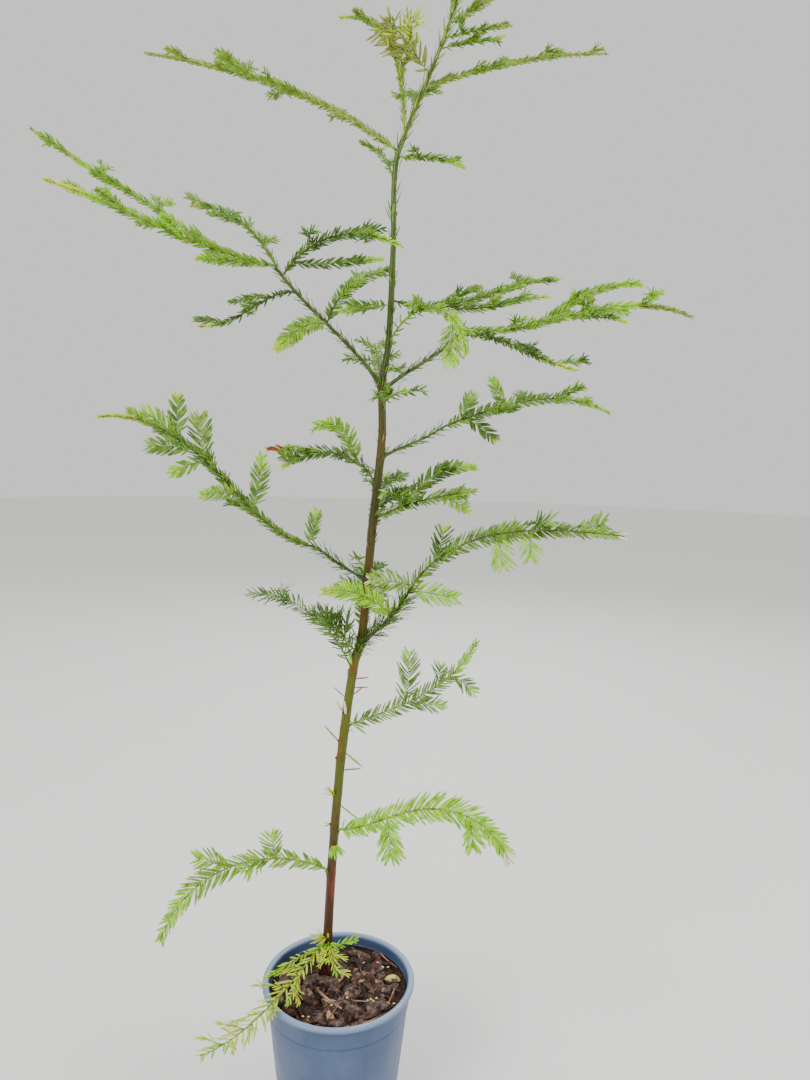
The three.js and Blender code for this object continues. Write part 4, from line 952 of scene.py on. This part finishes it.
# The needles: flat, leathery, 5 to 22 mm long and about 2 mm wide, set spirally but twisted
# at their foot into two flat ranks, and pressed forward on the upper shoots. New ones at
# the tips are yellow-green to tan. Some stand up or down out of their shoot's plane. Each
# tint is one joined piece, dealt out by shoot.
NEEDLE_KINDS = (
    # the longest needle of the kind, width, pitch along the shoot, angles to the shoot at its
    # foot and its tip, rise out of the shoot's plane and its scatter, and out of how many
    # needles one stands out of the plane
    (11, 1.8, 1.05, 36, 22, 4, 9, 3),
    (16, 2.2, 1.15, 52, 30, 3, 6, 5),
    (30, 2.5, 1.4, 50, 32, 3, 7, 7),
)
# Some masses differ, and so may their side sprays: the share of the spacing, millimetres
# added to the needles' length, the shares of their scatter and width, and their length at
# the shoot's foot. What a row leaves out is as usual.
USUAL_HABIT = (1, 0, 1, 1, 0.75)
HABITS = {
    "basal_long": (2.6, 0, 1.5, 1.1, 0.4), "basal_long_sprays": (1.6, 0, 2.4, 0.8),
    "basal_right": (1.7, 1, 1.3, 0.9), "basal_front": (1.5, 1, 1.5, 0.9),
    "base_left": (1.9, 3, 1.8, 0.7), "base_right": (1.3, 3, 1, 0.9),
    "node_tuft": (1.4, 2, 2.4, 0.9), "foot_left": (1.25, 5, 1.2, 1, 0.5),
    "foot_right": (0.85, 2, 1.5, 1, 0.6), "low_right": (1.2, 2, 1.2, 0.95),
    "low_frond": (0.85, 3, 1.2, 1.25), "top_fan": (1.8, 7, 1.2, 1.1),
    "left_face": (0.65, -3, 1, 1.1), "left_inner": (1.25, -1), "left_crest": (1.2, -2),
    "left_droop": (1.2, -4), "left_long": (1, -1), "right_long": (1, -1),
    "right_droop": (1.15, -2), "upper_right": (1, -1),
}
# Millimetres without needles at the foot of a mass's own shoot and of a spray, the share of
# needle length that a spray has, and how steeply a needle stands out of the plane.
BARE_FOOT = (4, 0.8)
SPRAY_NEEDLES = 0.92
OUT_LIFT = math.radians(58)
# Needle length along a shoot: places, and shares there. The share at a mass's foot is added
# to the first two.
SWELL = ((0, 0.29, 0.63, 1), (0, 0.25, 1, 0.45))
# A needle: its lean to its length, its thickness to its width, and its rings, each with its
# share of the length, the width and the thickness.
NEEDLE_LEAN = 0.14
NEEDLE_THICK = 0.17
NEEDLE_RINGS = ((0.1, 0.72, 0.6), (0.45, 1.0, 1.0), (0.84, 0.7, 0.7))
TINTS = {
    "deep": ("#31520f", "#668e24"),
    "mid": ("#47701a", "#84ae36"),
    "fresh": ("#60901e", "#a0ca3c"),
    "olive": ("#62801e", "#a0ba3c"),
    "bright": ("#7cbc10", "#b8ee24"),
    "yellow": ("#aec42a", "#dcec42"),
    "tan": ("#7e8a35", "#abb44c"),
    "cream": ("#d8c698", "#f8f0d4"),
    "rust": ("#8a3f16", "#c4642c"),
}
LIGHTER = {
    "deep": "mid", "mid": "fresh", "fresh": "bright", "olive": "fresh", "bright": "bright",
    "yellow": "yellow", "tan": "yellow",
}
# A shoot's tip tint begins at a share of its length, after a short stretch of a lighter one.
USUAL_TIP = 0.86
TIPS_FROM = {"tan": 0.74, "cream": 0.95, "bright": 0.78, "rust": 0.64}
TIP_FADE = 0.12
LIGHTER_SPRAYS = 0.35
GOLDEN_ANGLE = 137.5
needle_sets = {tint: [] for tint in TINTS}
needle_masses = {tint: set() for tint in TINTS}


def needle_leaves(foot, way, normal, length, width, lean):
    """Closed flat needles. A needle's middle runs from its foot along its direction and
    leans towards its shoot's tip as the square of the way; each ring is a diamond of four
    corners, wide across and thin through; both ends are points."""
    across = unit(np.cross(normal, way))
    normal = np.cross(way, across)
    length, width = length[:, None], np.broadcast_to(width, len(foot))[:, None]
    corners = []
    for share, wide, thick in NEEDLE_RINGS:
        middle = foot + way * (length * share) + lean * (length * NEEDLE_LEAN * share ** 2)
        side, through = across * (width * wide / 2), normal * (width * thick * NEEDLE_THICK)
        corners += [middle + side, middle + through, middle - side, middle - through]
    tip = foot + way * length + lean * (length * NEEDLE_LEAN)
    return np.stack(corners + [foot, tip], 1)


def shoot_needles(shoot, random):
    """The needles of one shoot: their shares of its length, then what needle_leaves takes.
    They stand in turn on either side, lie in the shoot's rolled plane with a seeded
    scatter, open to their full angle by mid-shoot, and are shorter at its foot and tip."""
    habit = HABITS.get(shoot.mass, ())
    if shoot.order:
        habit = HABITS.get(shoot.mass + "_sprays", habit)
    spacing, longer, loose, slender, at_foot = habit + USUAL_HABIT[len(habit):]
    needle = shoot.needle + longer
    kind = next(row for row in NEEDLE_KINDS if needle <= row[0])
    _, wide, pitch, opening, closing, rise, scatter, every = kind
    pitch *= spacing * (1 - 0.5 / every)
    is_spray = shoot.order > 0
    bare = BARE_FOOT[is_spray]
    count = max(int((shoot.length - bare) / pitch), 4)
    order = np.arange(count)
    share = (bare + pitch * (order + random.uniform(-0.3, 0.3, count))) / shoot.length
    share = np.clip(share, 0, 1)
    forward = heading(shoot.bearing, rise_at(shoot.rise, share))
    level = heading(shoot.bearing + 90, 0)
    side = swung(level, np.cross(forward, level), math.radians(shoot.roll))
    up = np.cross(forward, side)
    lift = np.radians(random.normal(rise, scatter * loose, count))
    stands_out = order % every == 0
    lift += OUT_LIFT * stands_out * np.where(order // (2 * every) % 2, 1, -1)
    spread = mixed((opening, closing), share ** 2) + random.normal(0, 5 * loose, count)
    rank = np.where(order % 2, 1, -1)[:, None]
    out = swung(side * rank, up, lift[:, None])
    swell = np.interp(share, SWELL[0], np.add(SWELL[1], (at_foot, at_foot, 0, 0)))
    size = needle * swell * random.uniform(0.85, 1.08, count) * (SPRAY_NEEDLES if is_spray else 1)
    width = wide * slender * random.uniform(0.85, 1.12, count)
    twist = np.radians(random.normal(0, 12 * loose, count) + 90 * stands_out)
    return share, (along(shoot.path, share), swung(forward, out, np.radians(spread)[:, None]),
                   swung(up, side, twist[:, None]), size, width, forward)


def clear_of_stem(leaves):
    """Which needles stay outside the stem: their middle and tip lie further from it than its
    radius at their height."""
    clear = np.ones(len(leaves), bool)
    for point in (leaves[:, 4:8].mean(1), leaves[:, -1]):
        height = np.clip(point[:, 2] - STEM_FOOT, 0, STEM_HEIGHT)
        off = np.hypot(*(point - stem_point(height))[:, :2].T)
        beyond = point[:, 2] > STEM_FOOT + STEM_HEIGHT
        clear &= beyond | (off > stem_radius(height) + ROOT_GAP)
    return clear


def deal_needles(mass, tint_of, *needles):
    """Puts a mass's needles into the sets of their tints. tint_of names the tint of each."""
    leaves = needle_leaves(*needles)
    clear = clear_of_stem(leaves)
    for tint in np.unique(tint_of):
        chosen = leaves[clear & (tint_of == tint)]
        if len(chosen):
            needle_sets[tint].append(chosen)
            needle_masses[tint].add("foliage_" + mass)


def round_needles(forward, level, angle, scatter, turn_scatter, random):
    """Directions of needles that wind round a limb by the golden angle: the way straight out
    from it, and that way swung forward to a seeded angle to the limb."""
    count = len(forward)
    turn = np.radians(GOLDEN_ANGLE * np.arange(count) + random.normal(0, turn_scatter, count))
    out = swung(level, np.cross(forward, level), turn[:, None])
    return out, swung(forward, out, np.radians(random.normal(angle, scatter, count))[:, None])


random = np.random.default_rng(2024)
for shoot in shoots:
    main = shoot.order == 0
    tone, tip = shoot.tones
    if not main and random.random() < LIGHTER_SPRAYS:
        tone = LIGHTER[tone]
    if main:
        tip_from = TIPS_FROM.get(tip, USUAL_TIP) + random.uniform(-0.04, 0.04)
    else:
        tip, tip_from = LIGHTER[tone], random.uniform(0.75, 1.4)
    share, needles = shoot_needles(shoot, random)
    fading = main & (share > tip_from - TIP_FADE)
    tint_of = np.where(share > tip_from, tip, np.where(fading, LIGHTER[tone], tone))
    deal_needles(shoot.mass, tint_of, *needles)

# Short old needles stand all round the boughs, pressed forward, and longer ones on the two
# lowest: name, mass at its tip, shortest and longest needle, spacing, and angle to the bough.
OLD_WIDTH = 1.8
BOUGH_NEEDLES = (
    ("bough_left", "left_long", 7, 11, 1.7, 38), ("bough_right", "right_long", 8, 12, 1.6, 38),
    ("bough_mid_right", "mid_right", 9, 13, 1.4, 42),
    ("bough_low_left", "low_left", 9, 14, 1.2, 46),
    ("bough_low_right", "low_right", 14, 20, 0.5, 54),
)
for i, (bough_name, mass, shortest, longest, pitch, angle) in enumerate(BOUGH_NEEDLES):
    path, bearing, rise, radii = bough_paths[bough_name]
    bough_random = np.random.default_rng(300 + i)
    share = np.arange(0.08, 1, pitch / np.linalg.norm(np.diff(path, axis=0), axis=1).sum())
    forward = heading(bearing, rise_at(rise, share))
    out, way = round_needles(forward, heading(bearing + 90, 0), angle, 9, 14, bough_random)
    foot = along(path, share) + out * mixed(radii, share)[:, None] * 0.8
    size = bough_random.uniform(shortest, longest, len(share))
    tint_of = np.where(bough_random.random(len(share)) < 0.6, "deep", "mid")
    deal_needles(mass, tint_of, foot, way, out, size, OLD_WIDTH, forward)

# The leader's own needles: none but a few old ones up to the main whorl, then ever closer,
# pressed upwards and dense at the top.
stem_random = np.random.default_rng(77)
steps = np.concatenate([
    stem_random.uniform(392, 660, 30), stem_random.uniform(660, 880, 50),
    np.arange(880, 1000, 2.4), np.arange(1000, 1108, 1.2),
])
forward = stem_way(steps)
out, way = round_needles(forward, square_to(forward, RIGHT), 26, 6, 12, stem_random)
size = np.interp(steps, (392, 660, 900, 1108), (9, 12, 15, 12))
size *= stem_random.uniform(0.8, 1.15, len(steps))
tint_of = np.where(steps > 1085, "bright", np.where(steps > 900, "olive", "mid"))
deal_needles("leader_tip", tint_of, stem_point(steps) + out * (stem_radius(steps) * 0.7)[:, None],
             way, forward + 0.2 * np.cross(out, forward), size, OLD_WIDTH, forward)

# Single old needles, buds and tufts on the stem: height, bearing, rise, length, width and
# tint, then for a tuft how many needles it has and how far they fan out in degrees. Single
# ones turn their flat side forward.
STEM_NEEDLES = (
    (302, 205, 60, 16, 3.0, "cream"), (300, 262, 66, 20, 3.2, "cream"),
    (340, 345, 8, 16, 1.9, "rust"), (322, 345, 40, 14, 1.7, "rust"),
    (330, 342, 6, 17, 1.7, "rust"), (293, 338, -33, 26, 2.8, "fresh"),
    (257, 338, -34, 26, 2.6, "fresh"), (237, 340, 12, 22, 2.2, "mid"),
    (197, 338, -30, 27, 2.2, "fresh"), (319, 195, 42, 18, 1.4, "mid"),
    (269, 195, 48, 26, 1.9, "mid"), (285, 330, -24, 10, 2.2, "cream"),
    (208, 205, 34, 13, 2.0, "yellow", 14, 40), (174, 200, 4, 8, 1.8, "bright", 6, 30),
    (152, 300, -34, 16, 2.2, "bright", 26, 46), (119, 200, 46, 10, 1.6, "fresh", 6, 36),
    (366, 150, 24, 16, 1.6, "mid", 16, 60), (376, 330, 28, 18, 1.6, "deep", 30, 70),
    (371, 262, 30, 17, 1.6, "mid", 26, 70), (386, 20, 34, 16, 1.6, "deep", 20, 60),
    (384, 200, 34, 16, 1.6, "mid", 18, 60), (356, 215, 66, 14, 1.8, "bright", 5, 30),
    (455, 200, 20, 13, 1.5, "deep", 10, 50), (519, 330, 26, 13, 1.5, "mid", 10, 50),
    (556, 170, 30, 13, 1.5, "mid", 10, 50), (585, 30, 30, 13, 1.5, "deep", 10, 50),
    (652, 330, 40, 13, 1.5, "mid", 12, 56), (658, 200, 44, 13, 1.5, "mid", 12, 56),
    (30, 262, 24, 17, 2.0, "bright", 22, 60), (44, 226, 20, 17, 2.0, "yellow", 26, 56),
    (22, 300, 10, 12, 1.8, "yellow", 12, 60), (38, 290, -10, 14, 1.9, "bright", 16, 50),
)
for height, bearing, rise, length, width, tint, *tuft in STEM_NEEDLES:
    count, fan = tuft or (1, 0)
    bearings = bearing + fan * stem_random.uniform(-1, 1, count)
    way = heading(bearings, rise + fan * 0.7 * stem_random.uniform(-1, 1, count))
    size = length * (stem_random.uniform(0.8, 1.1, count) if tuft else np.ones(1))
    foot = stem_point(height + 0 * bearings) + heading(bearings, 0) * stem_radius(height) * 0.9
    normal = np.cross(way, heading(bearings + 90, 0)) if tuft else square_to(way, (0, -1, 0))
    deal_needles("node_tuft", np.full(count, tint), foot, way, normal, size, width, 0.3 * UP)

for tint, tones in TINTS.items():
    # Needle cuticle: leathery with a soft waxy gloss. The tint wavers between a darker and a
    # lighter green over 8 mm, as from needle to needle, and a little along each.
    cuticle = mottled_finish("redwood_needle_cuticle_" + tint, {"Scale": 130, "Detail": 3},
                             zip((0.32, 0.66), tones), Roughness=0.46, Specular_IOR_Level=0.42)
    leaves = np.concatenate(needle_sets[tint])
    rings = leaves[:, :-2].reshape(len(leaves), len(NEEDLE_RINGS), -1, 3)
    add_piece("needles_" + tint, *closed(rings, leaves[:, -2:]), cuticle, "needles",
              sorted(needle_masses[tint]))
